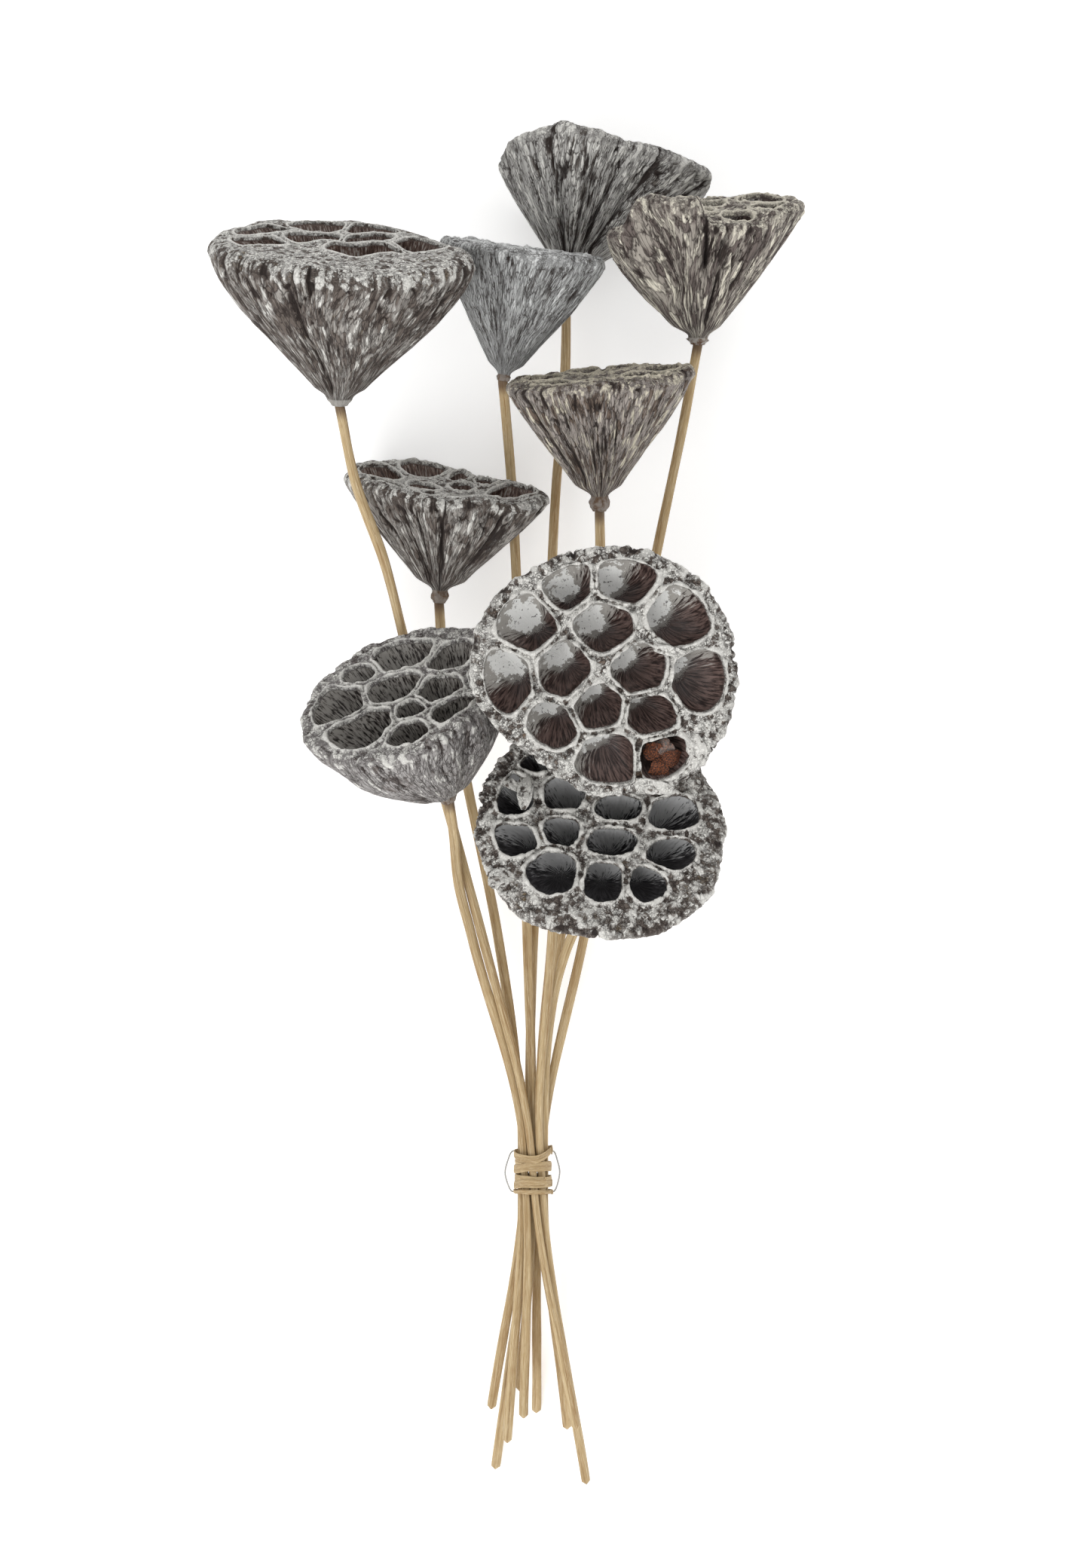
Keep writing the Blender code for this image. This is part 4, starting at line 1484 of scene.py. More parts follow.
    def crumple(self) -> Array:
        """Presses lumps and wrinkles into the rim and face.

        Returns:
            The final points in the pod's own frame.
        """
        draft, shape = self.draft, self.shape
        points = draft.all_points()
        amount = draft.all_values("lump")[:, 0]
        touched = amount > 0.01
        spots = points[touched]
        coarse = self.noise[3].layered(spots, 3.6, 3)
        creases = 1 - smooth(np.abs(self.noise[2].at(spots, 4.4)), 0.0, 0.12)
        creases *= smooth(self.noise[1].at(spots, 6.0), -0.2, 0.3)
        lumps = coarse * shape.lumps - creases * shape.lumps * 0.9
        normals = draft.normals(points)
        points[touched] += normals[touched] * (lumps * amount[touched])[:, None]
        start = 0
        for values in draft.values:
            count = len(values["lump"])
            here = touched[start:start + count]
            if here.any():
                relief = values["relief"].copy()
                rows = np.cumsum(touched)[start:start + count] - 1
                strength = amount[start:start + count][here] * 0.7
                relief[here, 0] += np.clip(lumps[rows[here]] / 0.7, -1, 1) * strength
                values["relief"] = relief
            start += count
        return points

    def build(self) -> bpy.types.Object:
        """Makes the piece and ties it to the frame.

        Returns:
            The finished piece.
        """
        rim_ring = self.wall()
        self.face_skin(rim_ring)
        for flap in self.shape.flaps:
            self.flap(flap)
        points = self.crumple()
        piece = self.draft.build(self.name + "_dried", points @ self.axes + np.array(self.shape.neck))
        piece.data.materials.append(self.finish.material(self.name + "_skin"))
        return settle(piece, self.name)


def settle(piece: bpy.types.Object, node: str) -> bpy.types.Object:
    """Ties a finished piece to the frame in place of its CAD node.

    Args:
        piece: the finished piece.
        node: the CAD node that it stands for.

    Returns:
        The same piece.
    """
    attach(piece, BODY)
    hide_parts(node)
    LOG.info("%s: %d faces", piece.name, len(piece.data.polygons))
    return piece


# ---------------------------------------------------------------- sticks

TIE_CENTRE = np.array((-4.2, -140.3, 20.0))
TIE_LENGTH = 16.0
SLOT_RADIUS = 4.25
SLOT_TWIST = math.radians(10)


def smooth_route(points: list, closed: bool = False, step_length: float = 1.2) -> Array:
    """Points about a step apart on a smooth curve through the given points.

    Args:
        points: points on the curve.
        closed: whether it runs back to its start.
        step_length: distance between the points made.

    Returns:
        The points, row by row.
    """
    knots = [np.asarray(p, float) for p in points]
    count = len(knots)
    spans = count if closed else count - 1
    lengths = [np.linalg.norm(knots[(i + 1) % count] - knots[i]) for i in range(spans)]
    chords = [(knots[(i + 1) % count] - knots[i]) / lengths[i] for i in range(spans)]
    tangents = []
    for i in range(count):
        if not closed and i in (0, count - 1):
            tangents.append(chords[0] if i == 0 else chords[-1])
            continue
        before, after = lengths[i - 1], lengths[i % spans]
        tangents.append((chords[i - 1] * after + chords[i % spans] * before) / (before + after))
    route = []
    for i in range(spans):
        steps = max(1, round(lengths[i] / step_length))
        t = (np.arange(steps) / steps)[:, None]
        route.append(knots[i] * (2 * t ** 3 - 3 * t * t + 1)
                     + tangents[i] * lengths[i] * (t ** 3 - 2 * t * t + t)
                     + knots[(i + 1) % count] * (3 * t * t - 2 * t ** 3)
                     + tangents[(i + 1) % count] * lengths[i] * (t ** 3 - t * t))
    if not closed:
        route.append(knots[-1][None])
    return np.concatenate(route)


@dataclass
class Stick:
    """One flattened, grooved stick from a pod's neck, through the tie, to its cut end."""

    name: str
    pod: PodShape
    route: tuple
    place: float | None
    end: Point
    finish: StrawFinish
    seed: int
    burnt_length: float = 7.0
    top_size: tuple = (3.6, 2.7)
    waist_size: tuple = (2.8, 2.7)
    end_size: tuple = (3.4, 2.6)
    taper_length: float = 45.0
    squareness: float = 2.7
    sides: int = 30

    def tie_place(self, share: float) -> Array:
        """Its place in the tie.

        Args:
            share: from 1 at the pods' side to -1 at the cut ends' side.

        Returns:
            The place in the layout.
        """
        along = np.array((0, share * TIE_LENGTH * 0.55, 0))
        if self.place is None:
            return TIE_CENTRE + along
        angle = math.radians(self.place) + share * SLOT_TWIST
        return TIE_CENTRE + along + SLOT_RADIUS * np.array((math.cos(angle), 0, math.sin(angle)))

    def build(self) -> bpy.types.Object:
        """Makes the piece and ties it to the frame.

        Returns:
            The finished piece.
        """
        centre, along = self.line()
        length = np.concatenate([[0], np.cumsum(np.linalg.norm(np.diff(centre, axis=0), axis=1))])
        noise = LatticeNoise(self.seed)
        line = np.stack([np.zeros_like(length), np.zeros_like(length), length], -1)
        angle = np.linspace(0, math.tau, self.sides, endpoint=False)[None]
        fibre = np.stack(np.broadcast_arrays(1.6 * np.cos(angle), 1.6 * np.sin(angle), length[:, None]), -1)
        away = np.abs(centre[:, 1] - TIE_CENTRE[1]) - TIE_LENGTH
        away = np.clip(away / self.taper_length, 0, 1)[:, None]
        size = self.size(centre, away) * (1 + 0.10 * noise.at(line, 34.0) * away[:, 0])[:, None]
        across = self.section(noise, angle, line, fibre)
        remain = length[-1] - length
        tip = np.sqrt(np.clip(1 - (1 - np.clip(remain / 1.6, 0, 1)) ** 2, 0.02, 1))
        flat_x = size[:, :1] / 2 * across * np.cos(angle) * tip[:, None] * 0.96
        flat_y = size[:, 1:] / 2 * across * np.sin(angle) * (0.3 + 0.7 * tip[:, None]) * 0.92
        turn = noise.at(line + 50.0, 60.0) * 0.5 * away[:, 0]
        cos, sin = np.cos(turn)[:, None], np.sin(turn)[:, None]
        x, y = flat_x * cos - flat_y * sin, flat_x * sin + flat_y * cos
        side = np.array((1.0, 0, 0)) - along[:, :1] * along
        side /= np.linalg.norm(side, axis=1, keepdims=True)
        up = np.cross(side, along)
        surface = centre[:, None] + side[:, None] * x[..., None] + up[:, None] * y[..., None]
        ragged = length + 2.0 * noise.at(fibre, (1.0, 1.0, 12.0)).mean(1)
        burnt = 0.8 * (1 - smooth(ragged, 2.0, self.burnt_length))
        draft = MeshDraft()
        index = draft.add_points(surface[::-1], grain=fibre[::-1] + self.seed * 7.0,
                                 burnt=np.repeat(burnt[::-1, None], self.sides, 1))
        draft.stitch(index)
        for ring, spot, flip in ((index[0], centre[-1], True), (index[-1], centre[0], False)):
            middle = draft.add_points(spot[None], grain=np.zeros(3), burnt=0.3)
            draft.fan(ring, int(middle[0]), flip=flip)
        piece = draft.build(self.name + "_split", draft.all_points())
        piece.data.materials.append(self.finish.material(self.name + "_straw"))
        return settle(piece, self.name)

    def line(self) -> tuple[Array, Array]:
        """The stick's middle line from inside the pod's neck to the cut end.

        Returns:
            Its points, and the direction at each.
        """
        neck, face = np.array(self.pod.neck, float), np.array(self.pod.face, float)
        axis = (face - neck) / np.linalg.norm(face - neck)
        tie = [self.tie_place(share) for share in (1, 0, -1)]
        centre = smooth_route([neck - axis * 0.3, *self.route, *tie, self.end])
        along = np.gradient(centre, axis=0)
        along[0] = -axis
        along /= np.linalg.norm(along, axis=1, keepdims=True)
        centre = np.concatenate([centre[:1] + axis * 1.1, centre])
        return centre, np.concatenate([along[:1], along])

    def size(self, centre: Array, away: Array) -> Array:
        """Width and thickness, slimmer inside the tie.

        Args:
            centre: points of the middle line.
            away: 0 inside the tie to 1 where the stick has its full size.

        Returns:
            The two sizes at each point.
        """
        wide = np.where((centre[:, 1] > TIE_CENTRE[1])[:, None], self.top_size, self.end_size)
        return np.array(self.waist_size) + (wide - np.array(self.waist_size)) * away

    def section(self, noise: LatticeNoise, angle: Array, line: Array, fibre: Array) -> Array:
        """The rounded box of the stick's section, with fine grooves and one long slit.

        Args:
            noise: the stick's own noise.
            angle: round the stick.
            line: coordinates along its middle.
            fibre: coordinates on its surface.

        Returns:
            How far out the surface is, as a share of the half size.
        """
        power = self.squareness
        box = (np.abs(np.cos(angle)) ** power + np.abs(np.sin(angle)) ** power) ** (-1 / power)
        grooves = 0.09 * noise.at(fibre, (0.7, 0.7, 70.0)) + 0.04 * noise.at(fibre, (0.3, 0.3, 25.0))
        slit = 0.16 * np.exp(-((angle - math.pi / 2 + 0.5 * noise.at(line, 90.0)[:, None]) / 0.13) ** 2)
        return box * (1 + grooves - slit)


# ---------------------------------------------------------------- tie and thread

@dataclass(frozen=True)
class Winding:
    """One turn of raffia round the sticks."""

    height: float          # along the bunch from the tie's middle, at the left
    rise: float            # how much higher it stands at the right
    dip: float             # how far it dips across the front
    width: float
    radius: float
    start: float = 0.0
    sweep: float = 360.0


@dataclass
class RaffiaTie:
    """Flat raffia strips wound round the sticks."""

    finish: StrawFinish
    windings: tuple = (
        Winding(6.3, 1.4, -2.4, 2.7, 6.55, -30, 400), Winding(3.4, -1.6, -0.6, 3.2, 6.15, 10, 380),
        Winding(0.6, 1.2, 0.8, 3.4, 6.45, -60, 390), Winding(-2.4, -0.9, -0.4, 3.3, 6.2, 30, 380),
        Winding(-5.0, 0.8, 0.6, 3.0, 6.5, -20, 390), Winding(-7.4, -0.2, 0.3, 1.5, 6.7, 0, 375))
    half_thickness: float = 0.26
    step_length: float = 0.4
    sides: int = 26

    def build(self) -> bpy.types.Object:
        """Makes the piece and ties it to the frame.

        Returns:
            The finished piece.
        """
        draft = MeshDraft()
        for number, turn in enumerate(self.windings):
            self.strip(draft, number, turn)
        piece = draft.build("raffia_tie_wound", draft.all_points())
        piece.data.materials.append(self.finish.material("raffia_strips"))
        return settle(piece, "raffia_tie")

    def strip(self, draft: MeshDraft, number: int, turn: Winding) -> None:
        """One pleated strip, as a thin closed body.

        Args:
            draft: the tie's mesh.
            number: which strip.
            turn: its place and size.
        """
        noise = LatticeNoise(400 + number)
        count = int(math.radians(turn.sweep) * turn.radius / self.step_length)
        angle = np.radians(turn.start + np.linspace(0, turn.sweep, count))
        line = np.stack([angle * 6, np.zeros_like(angle), np.zeros_like(angle)], -1)
        along = turn.height + turn.rise * (1 + np.cos(angle)) / 2
        along = along + turn.dip * np.clip(np.sin(angle), 0, 1) ** 1.5 + 0.35 * noise.at(line, 5.0)
        radius = turn.radius + 0.12 * noise.at(line + 9, 3.0) + 0.35 * np.linspace(0, 1, count)
        half = turn.width / 2 * (1 + 0.2 * noise.at(line + 5, 7.0))
        around = np.linspace(0, math.tau, self.sides, endpoint=False)[None]
        across = np.sign(np.cos(around)) * np.abs(np.cos(around)) ** 0.7 * half[:, None]
        thick = self.half_thickness * np.sign(np.sin(around)) * np.abs(np.sin(around)) ** 0.8
        reach = (angle * turn.radius)[:, None]
        fibre = np.stack(np.broadcast_arrays(across, thick + 2.0 * number, reach), -1)
        pleat = 0.13 * noise.at(fibre, (0.7, 9.0, 14.0)) + 0.05 * noise.at(fibre, (0.3, 9.0, 8.0))
        out = radius[:, None] + thick + pleat
        points = np.stack(np.broadcast_arrays(out * np.cos(angle)[:, None], along[:, None] + across,
                                              out * np.sin(angle)[:, None]), -1) + TIE_CENTRE
        index = draft.add_points(points, grain=fibre + number * 13.0, burnt=0.0)
        draft.stitch(index[:, ::-1])
        for ring, flip in ((0, False), (-1, True)):
            middle = draft.add_points(points[ring].mean(0)[None], grain=np.zeros(3), burnt=0.2)
            draft.fan(index[ring], int(middle[0]), flip=flip)


@dataclass
class ClearThread:
    """A thin clear loop that stands out at both sides of the tie."""

    finish: ThreadFinish
    radius: float = 0.27
    clearance: float = 8.25
    upper: float = 6.6                   # the two runs behind the sticks, along the bunch
    lower: float = -7.6
    right: tuple = ((8.9, 3.6, -0.8), (9.7, 0.0, 0.0), (9.1, -4.2, -0.8))
    left: tuple = ((-9.3, -4.4, -0.8), (-10.1, -0.6, 0.0), (-9.2, 3.4, -0.8))
    behind: tuple = (200, 235, 270, 305, 340)    # degrees where it runs behind the sticks
    step_length: float = 0.4
    sides: int = 10

    def build(self) -> bpy.types.Object:
        """Makes the piece and ties it to the frame.

        Returns:
            The finished piece.
        """
        ring = [(self.clearance * math.cos(a), math.sin(a) * self.clearance) for a in np.radians(self.behind)]
        points = [(x, self.upper, z) for x, z in ring] + list(self.right)
        points += [(x, self.lower, z) for x, z in reversed(ring)] + list(self.left)
        route = smooth_route(points, closed=True, step_length=self.step_length)
        along = np.roll(route, -1, axis=0) - np.roll(route, 1, axis=0)
        along /= np.linalg.norm(along, axis=1, keepdims=True)
        inward = route * np.array((1, 0, 1))
        side = inward - (inward * along).sum(1, keepdims=True) * along
        side /= np.linalg.norm(side, axis=1, keepdims=True)
        up = np.cross(along, side)
        angle = np.linspace(0, math.tau, self.sides, endpoint=False)[None, :, None]
        surface = route[:, None] + self.radius * (side[:, None] * np.cos(angle) + up[:, None] * np.sin(angle))
        length = np.arange(len(route)) * self.step_length
        flat = angle[..., 0]
        fibre = np.stack(np.broadcast_arrays(np.cos(flat), np.sin(flat), length[:, None]), -1)
        draft = MeshDraft()
        index = draft.add_points(surface + TIE_CENTRE, grain=fibre)
        draft.stitch(np.concatenate([index, index[:1]]))
        piece = draft.build("clear_thread_loop", draft.all_points())
        piece.data.materials.append(self.finish.material("drawn_thread"))
        return settle(piece, "clear_thread")


# ---------------------------------------------------------------- studio

@dataclass
class Studio:
    """A pale floor, soft light from above, and a camera that looks straight down."""

    floor_size: float = 40.0
    camera_place: Point = (0.01261, 0.00965, 1.6015)
    lens: float = 100.0
    sensor: float = 36.0
    room_light: float = 0.75
    floor_glow: float = 0.34

    def build(self) -> None:
        """Makes the floor, the lights and the camera."""
        self.floor()
        self.light("Key", strength=1.6, softness=50.0, turn=(math.radians(38), math.radians(-30), 0.0))
        self.light("Fill", strength=0.5, softness=80.0, turn=(math.radians(-35), math.radians(38), 0.0))
        world = bpy.data.worlds.new("Soft room")
        world.use_nodes = True
        world.node_tree.nodes["Background"].inputs["Color"].default_value = (1.0, 1.0, 1.0, 1.0)
        world.node_tree.nodes["Background"].inputs["Strength"].default_value = self.room_light
        bpy.context.scene.world = world
        bpy.context.scene.view_settings.view_transform = "Standard"
        data = bpy.data.cameras.new("Camera")
        data.lens, data.sensor_width, data.clip_start = self.lens, self.sensor, 0.05
        camera = bpy.data.objects.new("Camera", data)
        camera.location = self.camera_place
        bpy.context.scene.collection.objects.link(camera)
        bpy.context.scene.camera = camera

    def floor(self) -> None:
        """A wide pale floor under the bunch."""
        half = self.floor_size / 2
        mesh = bpy.data.meshes.new("floor")
        mesh.from_pydata([(-half, -half, 0), (half, -half, 0), (half, half, 0), (-half, half, 0)], [],
                         [(0, 1, 2, 3)])
        material = bpy.data.materials.new("pale_floor")
        material.use_nodes = True
        shader = material.node_tree.nodes["Principled BSDF"]
        shader.inputs["Base Color"].default_value = (0.93, 0.93, 0.925, 1.0)
        shader.inputs["Roughness"].default_value = 0.9
        shader.inputs["Emission Color"].default_value = (1.0, 1.0, 1.0, 1.0)
        shader.inputs["Emission Strength"].default_value = self.floor_glow
        mesh.materials.append(material)
        floor = bpy.data.objects.new("floor", mesh)
        floor.location.z = -0.1 * MM
        bpy.context.scene.collection.objects.link(floor)

    def light(self, name: str, strength: float, softness: float, turn: Point) -> None:
        """One soft, distant light.

        Args:
            name: the light's name.
            strength: how bright it is.
            softness: how wide it looks, in degrees.
            turn: which way it points, as turns about x, y and z.
        """
        data = bpy.data.lights.new(name, "SUN")
        data.energy, data.angle = strength, math.radians(softness)
        lamp = bpy.data.objects.new(name, data)
        lamp.rotation_euler = turn
        bpy.context.scene.collection.objects.link(lamp)


# ---------------------------------------------------------------- the bunch

def hand_cells(*rows: tuple) -> tuple:
    """Seed cells from rows of x, y, half width, half height, turn and depth."""
    return tuple(Cell(*row) for row in rows)


LEFT_TOP_RADII = (50, 37, 35, 43, 48, 44, 38, 46)
BEHIND_LEFT_RADII = (33, 27, 21, 27, 32, 26, 25, 30)
TOP_RADII = (38, 32, 25, 31, 37, 30, 18, 21)
RIGHT_TOP_RADII = (38, 30, 21, 22, 38, 33, 27, 33)
RIGHT_MIDDLE_RADII = (34, 31, 26, 30, 33, 30, 27, 31)
LEFT_MIDDLE_RADII = (42, 24, 19, 32, 40, 34, 27, 34)

SHAPES = {
    "left_top": PodShape(
        (-72.8, 134.7, 52), (-71.4, 189.1, 69), LEFT_TOP_RADII,
        roll=24, tilt=(-0.02, 0.05), bowl=(0.0, 0.75),
        cells=hand_cells((-32.5, 4.1, 9.5, 6.5, 24, 15), (-18.4, 19.2, 9.0, 6.5, 24, 15),
                         (-0.2, 25.1, 9.0, 6.5, 24, 14), (-13.0, 4.6, 9.0, 6.0, 24, 18),
                         (4.7, 11.5, 8.5, 5.0, 24, 18), (11.0, -2.7, 10.5, 8.0, 24, 19),
                         (24.8, 13.2, 8.5, 8.0, 24, 15), (-26.9, -10.9, 8.0, 5.0, 24, 10)), seed=1,
        folds=(Fold(-24, 4.2, 3.4, 0.1, 0.93, -4, 0.8), Fold(12, -2.6, 15, 0.5, 0.9),
               Fold(44, 2.6, 4, 0.3, 0.95, 14), Fold(-58, 1.4, 4, 0.3, 1.0),
               Fold(-12, 1.2, 2.2, 0.55, 0.95), Fold(150, 3, 5, 0.2, 0.95)),
        septum=1.5, grow=1.4, lip=0.45, rim_round=5.0, rim_band=1.2, lumps=0.18, furrow=1.3, slots=1.3,
        crinkle=0.35, paint_amount=0.1, cone_power=1.1, tip_radius=4.6, collar=(3.3, 4.2, 1.8),
        nip=1.08, shallow=0.9),
    "behind_left": PodShape(
        (-14.8, 144.2, 42), (-8.7, 189.9, 48), BEHIND_LEFT_RADII,
        roll=32, tilt=(0, 0), bowl=(0.1, 0.4),
        cells=ring_cells(BEHIND_LEFT_RADII, 7, 1, 17), seed=2,
        folds=(Fold(-26, 2.2, 5, 0.05, 0.8, 6, 0.3), Fold(28, 1.4, 4, 0.3, 0.85, 0, 0.2),
               Fold(170, 2, 5, 0.2, 0.9)),
        furrow=0.7, slots=0.3, lumps=0.35, grow=1.4, collar=(2.4, 2.6, 1.5)),
    "top": PodShape(
        (8.1, 182.7, 20), (22.0, 222.3, 26.5), TOP_RADII,
        roll=4, tilt=(0.24, -0.72), bowl=(0.0, 0.4),
        cells=ring_cells(TOP_RADII, 8, 2, 14, 20), seed=3,
        folds=(Fold(-48, 2.2, 2.2, 0.1, 1.0, -6, 0.8), Fold(-20, 2.0, 2.0, 0.1, 0.9, -4, 0.8),
               Fold(10, 1.8, 2.0, 0.25, 1.0, 4, 0.8), Fold(42, 1.8, 2.4, 0.2, 0.95, 8, 0.8)),
        furrow=2.0, slots=1.5, grow=1.4),
    "right_top": PodShape(
        (54.8, 157.3, 42), (56.5, 203.5, 53), RIGHT_TOP_RADII,
        roll=-28, tilt=(0.09, 0), bowl=(0.25, 0.45),
        cells=ring_cells(RIGHT_TOP_RADII, 8, 2, 16, 8), seed=4,
        folds=(Fold(-36, 5.0, 7, 0.35, 0.9, 6, 0.2), Fold(2, 7.0, 5, 0.62, 1.3, 0, 0.6),
               Fold(16, 2.6, 2.2, 0.15, 1.0, 2, 0.9), Fold(-14, -2.0, 5, 0.3, 1.0)),
        furrow=1.4, grow=1.4, collar=(2.9, 4.2, 1.8),
        wings=((9.5, -38, 40), (-13.0, -86, 42), (-3.5, 24, 30))),
    "right_middle": PodShape(
        (19.5, 97.0, 52), (19.4, 143.4, 60), RIGHT_MIDDLE_RADII,
        roll=8, tilt=(0.09, 0.04), bowl=(0.0, 0.35),
        cells=ring_cells(RIGHT_MIDDLE_RADII, 7, 1, 17, 15), seed=5,
        folds=(Fold(-38, 2.4, 2.4, 0.25, 1.0, -8, 0.8), Fold(-10, 2.0, 2.4, 0.3, 1.0, 3, 0.8),
               Fold(-60, 1.8, 2.4, 0.3, 1.0, -4, 0.8), Fold(30, -1.2, 8, 0.4, 0.95)),
        furrow=1.5, slots=1.5, grow=1.4, collar=(2.7, 3.7, 4.6)),
    "left_middle": PodShape(
        (-38.1, 65.6, 23.1), (-35.4, 106.0, 29.1), LEFT_MIDDLE_RADII,
        roll=33, tilt=(-0.06, 0.12), bowl=(0.0, 0.4),
        cells=ring_cells(LEFT_MIDDLE_RADII, 8, 2, 14, 10), seed=6,
        folds=(Fold(0, 1.8, 2.2, 0.1, 0.9, 0, 0.8), Fold(36, 2.2, 3, 0.3, 0.95, 4, 0.8),
               Fold(-34, 2.0, 2.4, 0.2, 0.95, -4, 0.8)),
        furrow=1.7, slots=1.3, lip=0.7, wave=1.2, rim_round=3.4, rim_band=1.2, grow=1.6, lumps=0.35,
        paint_amount=0.1, collar=(2.4, 3.3, 3.8), wings=((3.0, 0, 400),)),
    "left_low": PodShape(
        (-34.2, -5.8, 43.3), (-49.9, 32.1, 72.0), (38, 38, 36, 37, 38, 38, 38, 38),
        roll=0, tilt=(0, 0), bowl=(0.6, 0.8),
        cells=hand_cells((0, 21, 9.5, 7.5, -20, 17), (18, 12, 7.5, 7.0, -20, 16), (-16, 16, 5.5, 5.0, 0, 14),
                         (-24, 1, 9.0, 9.5, 50, 17), (-3, 2, 9.5, 6.5, -10, 19), (14, -5, 8.0, 6.0, -20, 18),
                         (-14, -17, 11.0, 8.5, 25, 18), (3, -13, 5.2, 5.2, 0, 16),
                         (20, -20, 7.5, 6.5, -20, 15),
                         (3, -27, 6.2, 6.0, 0, 14), (28.5, -3.5, 3.2, 5.6, 0, 12)), seed=7,
        folds=(Fold(-10, 1.4, 3, 0.2, 0.9, 0, 0.5), Fold(40, 1.6, 3, 0.2, 0.9, 0, 0.5)),
        furrow=0.9, slots=0.6, ribs=0.36, septum=1.8, grow=1.35, lip=0.9, rim_band=2.2,
        collar=(3.0, 3.6, 4.0), paint_amount=0.09),
    "front_large": PodShape(
        (12.6, 50.5, 62.9), (19.9, 38.0, 118.0), (47, 45.5, 43, 44.5, 45.5, 38.5, 43, 48.5),
        roll=0, tilt=(0, 0), bowl=(0.3, 0.8),
        cells=hand_cells((-27, 18, 9.5, 7.5, -40, 20), (-12, 31, 6.8, 7.6, -30, 19),
                         (7.5, 32.5, 8.6, 7.4, 10, 19),
                         (26, 19, 8.4, 8.8, 40, 20), (0, 16, 8.2, 7.2, 0, 22), (-34, -2, 7.8, 8.8, 0, 19),
                         (-14, 2, 7.4, 8.2, 0, 22), (12.5, 1.0, 7.8, 7.4, 0, 22), (33, -3, 8.0, 8.6, 10, 19),
                         (-1.5, -12, 7.2, 6.8, 20, 22), (-17.5, -17.5, 7.6, 5.8, -35, 19),
                         (16.5, -15, 7.2, 6.2, -10, 20),
                         (1.5, -31, 8.6, 8.4, 0, 19), (20.5, -30, 7.4, 6.6, 25, 17)), seed=8,
        rim_round=2.6, rim_band=1.4, grow=1.4, septum=1.6, lip=1.1, lumps=0.8, crinkle=1.3,
        paint_amount=0.4, dab=1.0, shallow=0.55,
        flaps=(Flap(14.5, -27.0, 4.0, -20, 9.0, 6.0, 60, 80, 1.0),
               Flap(20.0, -24.0, 3.0, -60, 8.0, 5.5, 50, 70, 0.8),
               Flap(27.0, -31.0, 4.0, 165, 9.0, 6.0, 65, 60, 1.0),
               Flap(19.0, -37.0, 3.5, 80, 8.0, 7.0, 60, 80, 1.0),
               Flap(29.5, -21.0, 1.0, -68, 14.0, 6.5, 24, 46),
               Flap(34.0, -27.0, 1.0, -120, 10.0, 4.5, 24, 50),
               Flap(10.0, -38.5, 1.0, -10, 15.0, 5.0, 35, 50), Flap(17.0, 8.5, 0.5, -10, 12.0, 3.4, 40, 60))),
    "front_low": PodShape(
        (17.8, -32.7, 38.6), (17.8, -11.7, 84.0), (44.5, 41, 41, 40.5, 42, 44.5, 44.5, 49),
        roll=0, tilt=(0, 0), bowl=(0.3, 0.8),
        cells=hand_cells((-20, 24, 8.0, 6.4, 10, 16), (-29, 9, 6.6, 7.6, 10, 17), (-11, 9, 6.6, 6.2, 0, 19),
                         (8.5, 3.5, 7.8, 4.6, 0, 19), (27, 1, 8.0, 6.0, 0, 18),
                         (19.5, 14.5, 5.2, 4.2, -20, 16),
                         (-28.5, -9, 7.6, 5.6, -10, 17), (-12, -5.5, 6.0, 5.2, 0, 19),
                         (5.5, -9.5, 7.8, 5.0, 0, 19),
                         (26, -14, 7.4, 5.6, 10, 17), (-15, -21, 7.8, 7.2, -20, 17),
                         (2.5, -24.5, 6.4, 6.6, 0, 16),
                         (17.5, -25.5, 5.8, 5.8, 0, 15), (3, 24, 8.2, 6.4, 0, 16)), seed=9,
        rim_round=3.2, rim_band=3.4, grow=1.25, septum=1.8, lip=1.0, lumps=0.9, crinkle=1.2, ribs=0.34,
        paint_lean=(0.0, 0.9), paint_amount=0.34, shallow=0.8,
        flaps=(Flap(-24.0, 16.5, 1.0, -95, 15.0, 5.5, 40, 75), Flap(-33.0, 14.0, 1.0, -30, 9.0, 4.0, 40, 75),
               Flap(30.0, 18.0, 1.0, 40, 10.0, 7.0, 30, 50), Flap(-30.0, -21.0, 0.5, 220, 9.0, 7.0, 30, 60))),
}

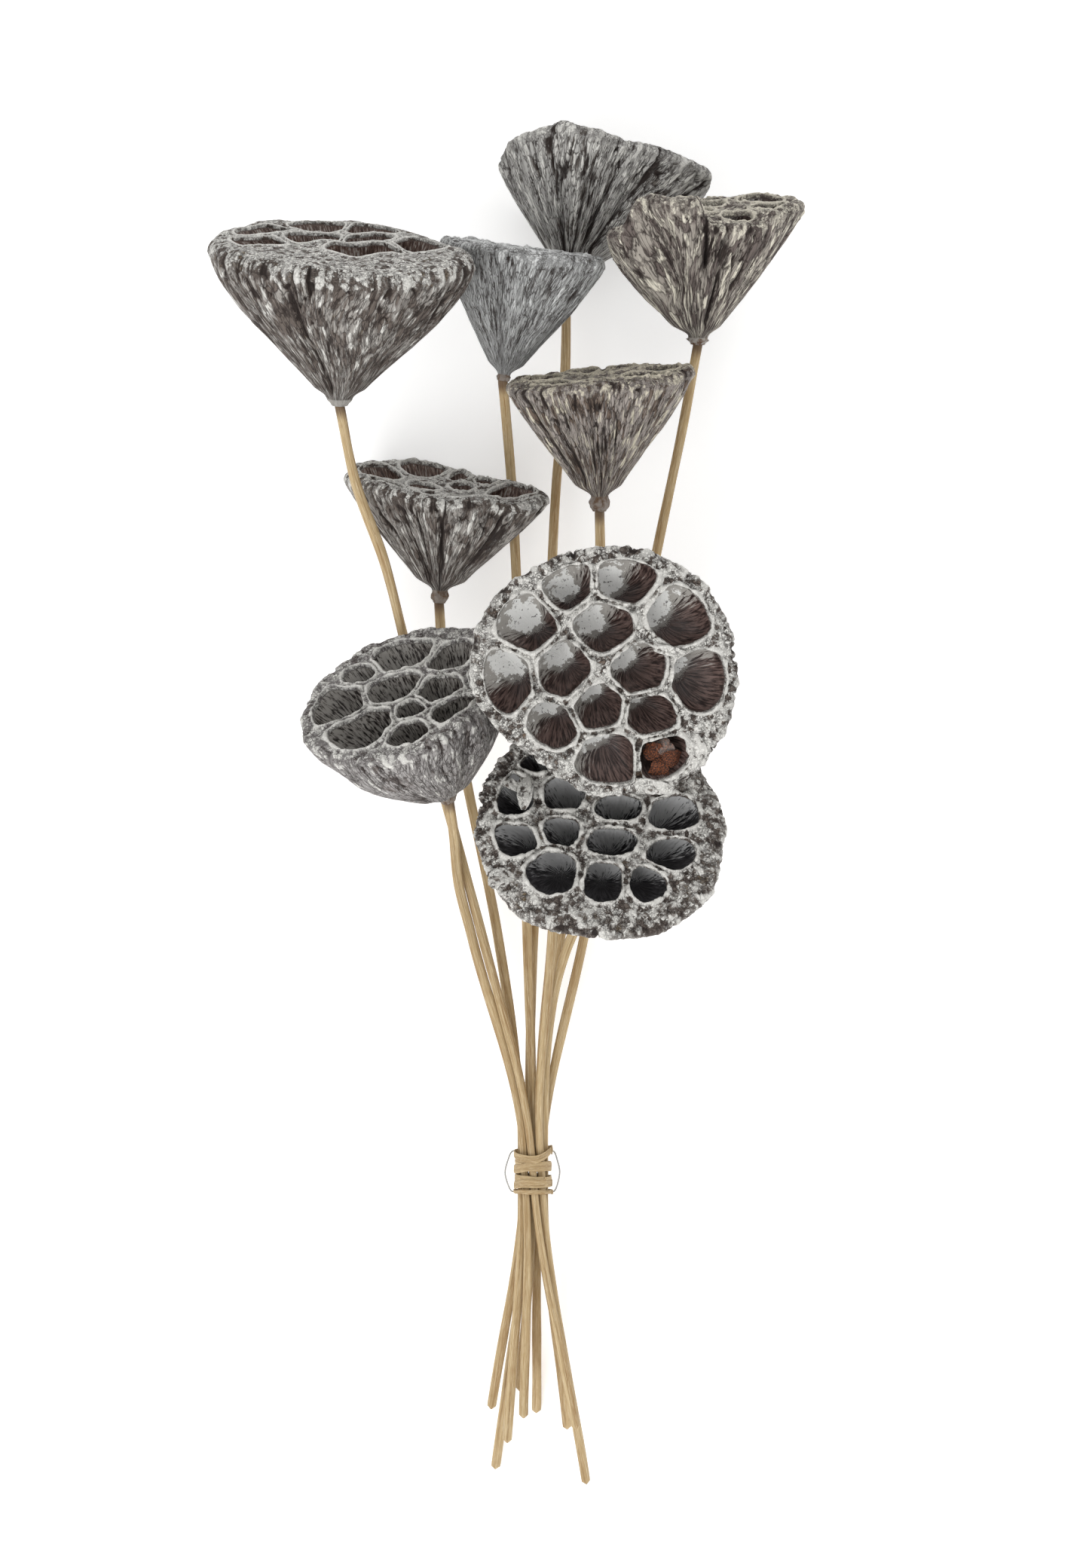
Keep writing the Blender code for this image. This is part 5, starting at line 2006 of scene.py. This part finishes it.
FINISHES = {
    "left_top": (WashFinish(neck=tint(186, 180, 172), collar=tint(206, 202, 196), crumb=2.4,
                            cell_dark=tint(62, 44, 38), cell_brown=tint(128, 104, 92),
                            rim_chalk=0.56), Slot.GREY),
    "behind_left": (WashFinish(bark=tint(128, 126, 124), wash=tint(190, 191, 190), chalk=tint(236, 237, 236),
                               stain=tint(140, 136, 128), wash_amount=0.66, speck_share=0.22,
                               flake_share=0.2), Slot.PALE),
    "top": (WashFinish(bark=tint(118, 112, 106), wash=tint(200, 198, 194), stain=tint(186, 178, 150),
                       wash_amount=0.7, chalk_amount=0.42, flake_share=0.4, dark_amount=0.88), Slot.GREY),
    "right_top": (WashFinish(bark=tint(118, 107, 102), wash=tint(176, 168, 158), chalk=tint(238, 231, 214),
                             stain=tint(178, 168, 142), stain_share=0.3, wash_amount=0.6, flake_share=0.5,
                             flake_width=1.5, collar=tint(222, 216, 208), neck=tint(126, 92, 66)), Slot.WARM),
    "right_middle": (WashFinish(bark=tint(124, 108, 96), wash=tint(176, 167, 160), chalk=tint(236, 227, 206),
                                stain=tint(152, 124, 88), stain_share=0.34, wash_amount=0.62,
                                flake_share=0.4), Slot.WARM),
    "left_middle": (WashFinish(wash_amount=0.57, cell_dark=tint(60, 42, 36), cell_brown=tint(140, 112, 98),
                               crumb=2.4, rim_chalk=0.56), Slot.GREY),
    "left_low": (WashFinish(bark=tint(130, 122, 118), wash=tint(172, 168, 166), cell_dark=tint(30, 24, 22),
                            cell_brown=tint(126, 116, 110), wash_amount=0.68, cell_amount=0.46), Slot.PALE),
    "front_large": (WashFinish(wash_amount=0.6, chalk_amount=0.5, rim_chalk=0.56, cell_dark=tint(38, 26, 24),
                               cell_brown=tint(116, 96, 90), cell_rough=0.3, cell_amount=0.44, dab_edge=0.42,
                               stain=tint(140, 112, 86), stain_share=0.4, dark_amount=0.95), Slot.GREY),
    "front_low": (WashFinish(wash_amount=0.56, rim_chalk=0.5, cell_dark=tint(22, 20, 22),
                             cell_brown=tint(78, 76, 78), cell_wash=tint(200, 200, 200), cell_amount=0.38,
                             dark_amount=0.94), Slot.GREY),
}

STICK_ROUTES = {
    "left_top": (((-67.5, 108, 47), (-57.5, 80, 40), (-51, 54, 32), (-43, 20, 29.5), (-36, -5, 29),
                  (-22.5, -55, 27)), 90, (11.5, -234.0, 20)),
    "behind_left": (((-13.6, 130, 31), (-12.0, 110, 19), (-10.7, 86, 16.5), (-8.7, 20, 18.5),
                     (-6.3, -55, 22)),
                    None, (-9.0, -221.2, 12.5)),
    "top": (((7.4, 146, 15), (4.2, 108, 13.5), (0.7, 20, 14.5), (-4, -55, 15)), 225, (-19.5, -228.0, 11)),
    "right_top": (((50, 130, 34), (40, 81, 26), (27, 12, 20.5), (14.4, -55, 20)), 315, (-3.0, -231.0, -0.3)),
    "right_middle": (((19.8, 82, 47), (18, 50, 38), (14, 10, 28), (6, -55, 17)), 270, (-18.1, -251.6, -0.2)),
    "left_middle": (((-37, 50, 24), (-33, 25, 22), (-27, -5, 21), (-17, -55, 19)), 180, (-13.5, -239.0, 20)),
    "left_low": (((-32.6, -18, 35), (-31, -36, 30), (-26.3, -55, 27)), 135, (-7.6, -229.5, 24)),
    "front_large": (((11.2, 51, 50), (9, 40, 40), (7, 20, 35), (5, -20, 33), (2.8, -55, 31)), 45,
                    (15.3, -255.4, 11)),
    "front_low": (((16.4, -40, 32), (13.5, -47, 29.5), (9, -57, 28)), 0, (8.4, -237.0, -0.3)),
}


def main() -> None:
    """Builds the bunch piece by piece, then the studio."""
    logging.basicConfig(level=logging.INFO, format="%(message)s")
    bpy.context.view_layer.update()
    SharedGroups().build()
    straw = StrawFinish()
    for number, (name, shape) in enumerate(SHAPES.items()):
        finish, slot = FINISHES[name]
        Pod("pod_" + name, shape, finish, slot).build()
        route, place, end = STICK_ROUTES[name]
        Stick("stem_" + name, shape, route, place, end, straw, 100 + number).build()
    RaffiaTie(StrawFinish(stripe=0.5, stretch=30.0)).build()
    ClearThread(ThreadFinish()).build()
    Studio().build()


if __name__ == "__main__":
    main()
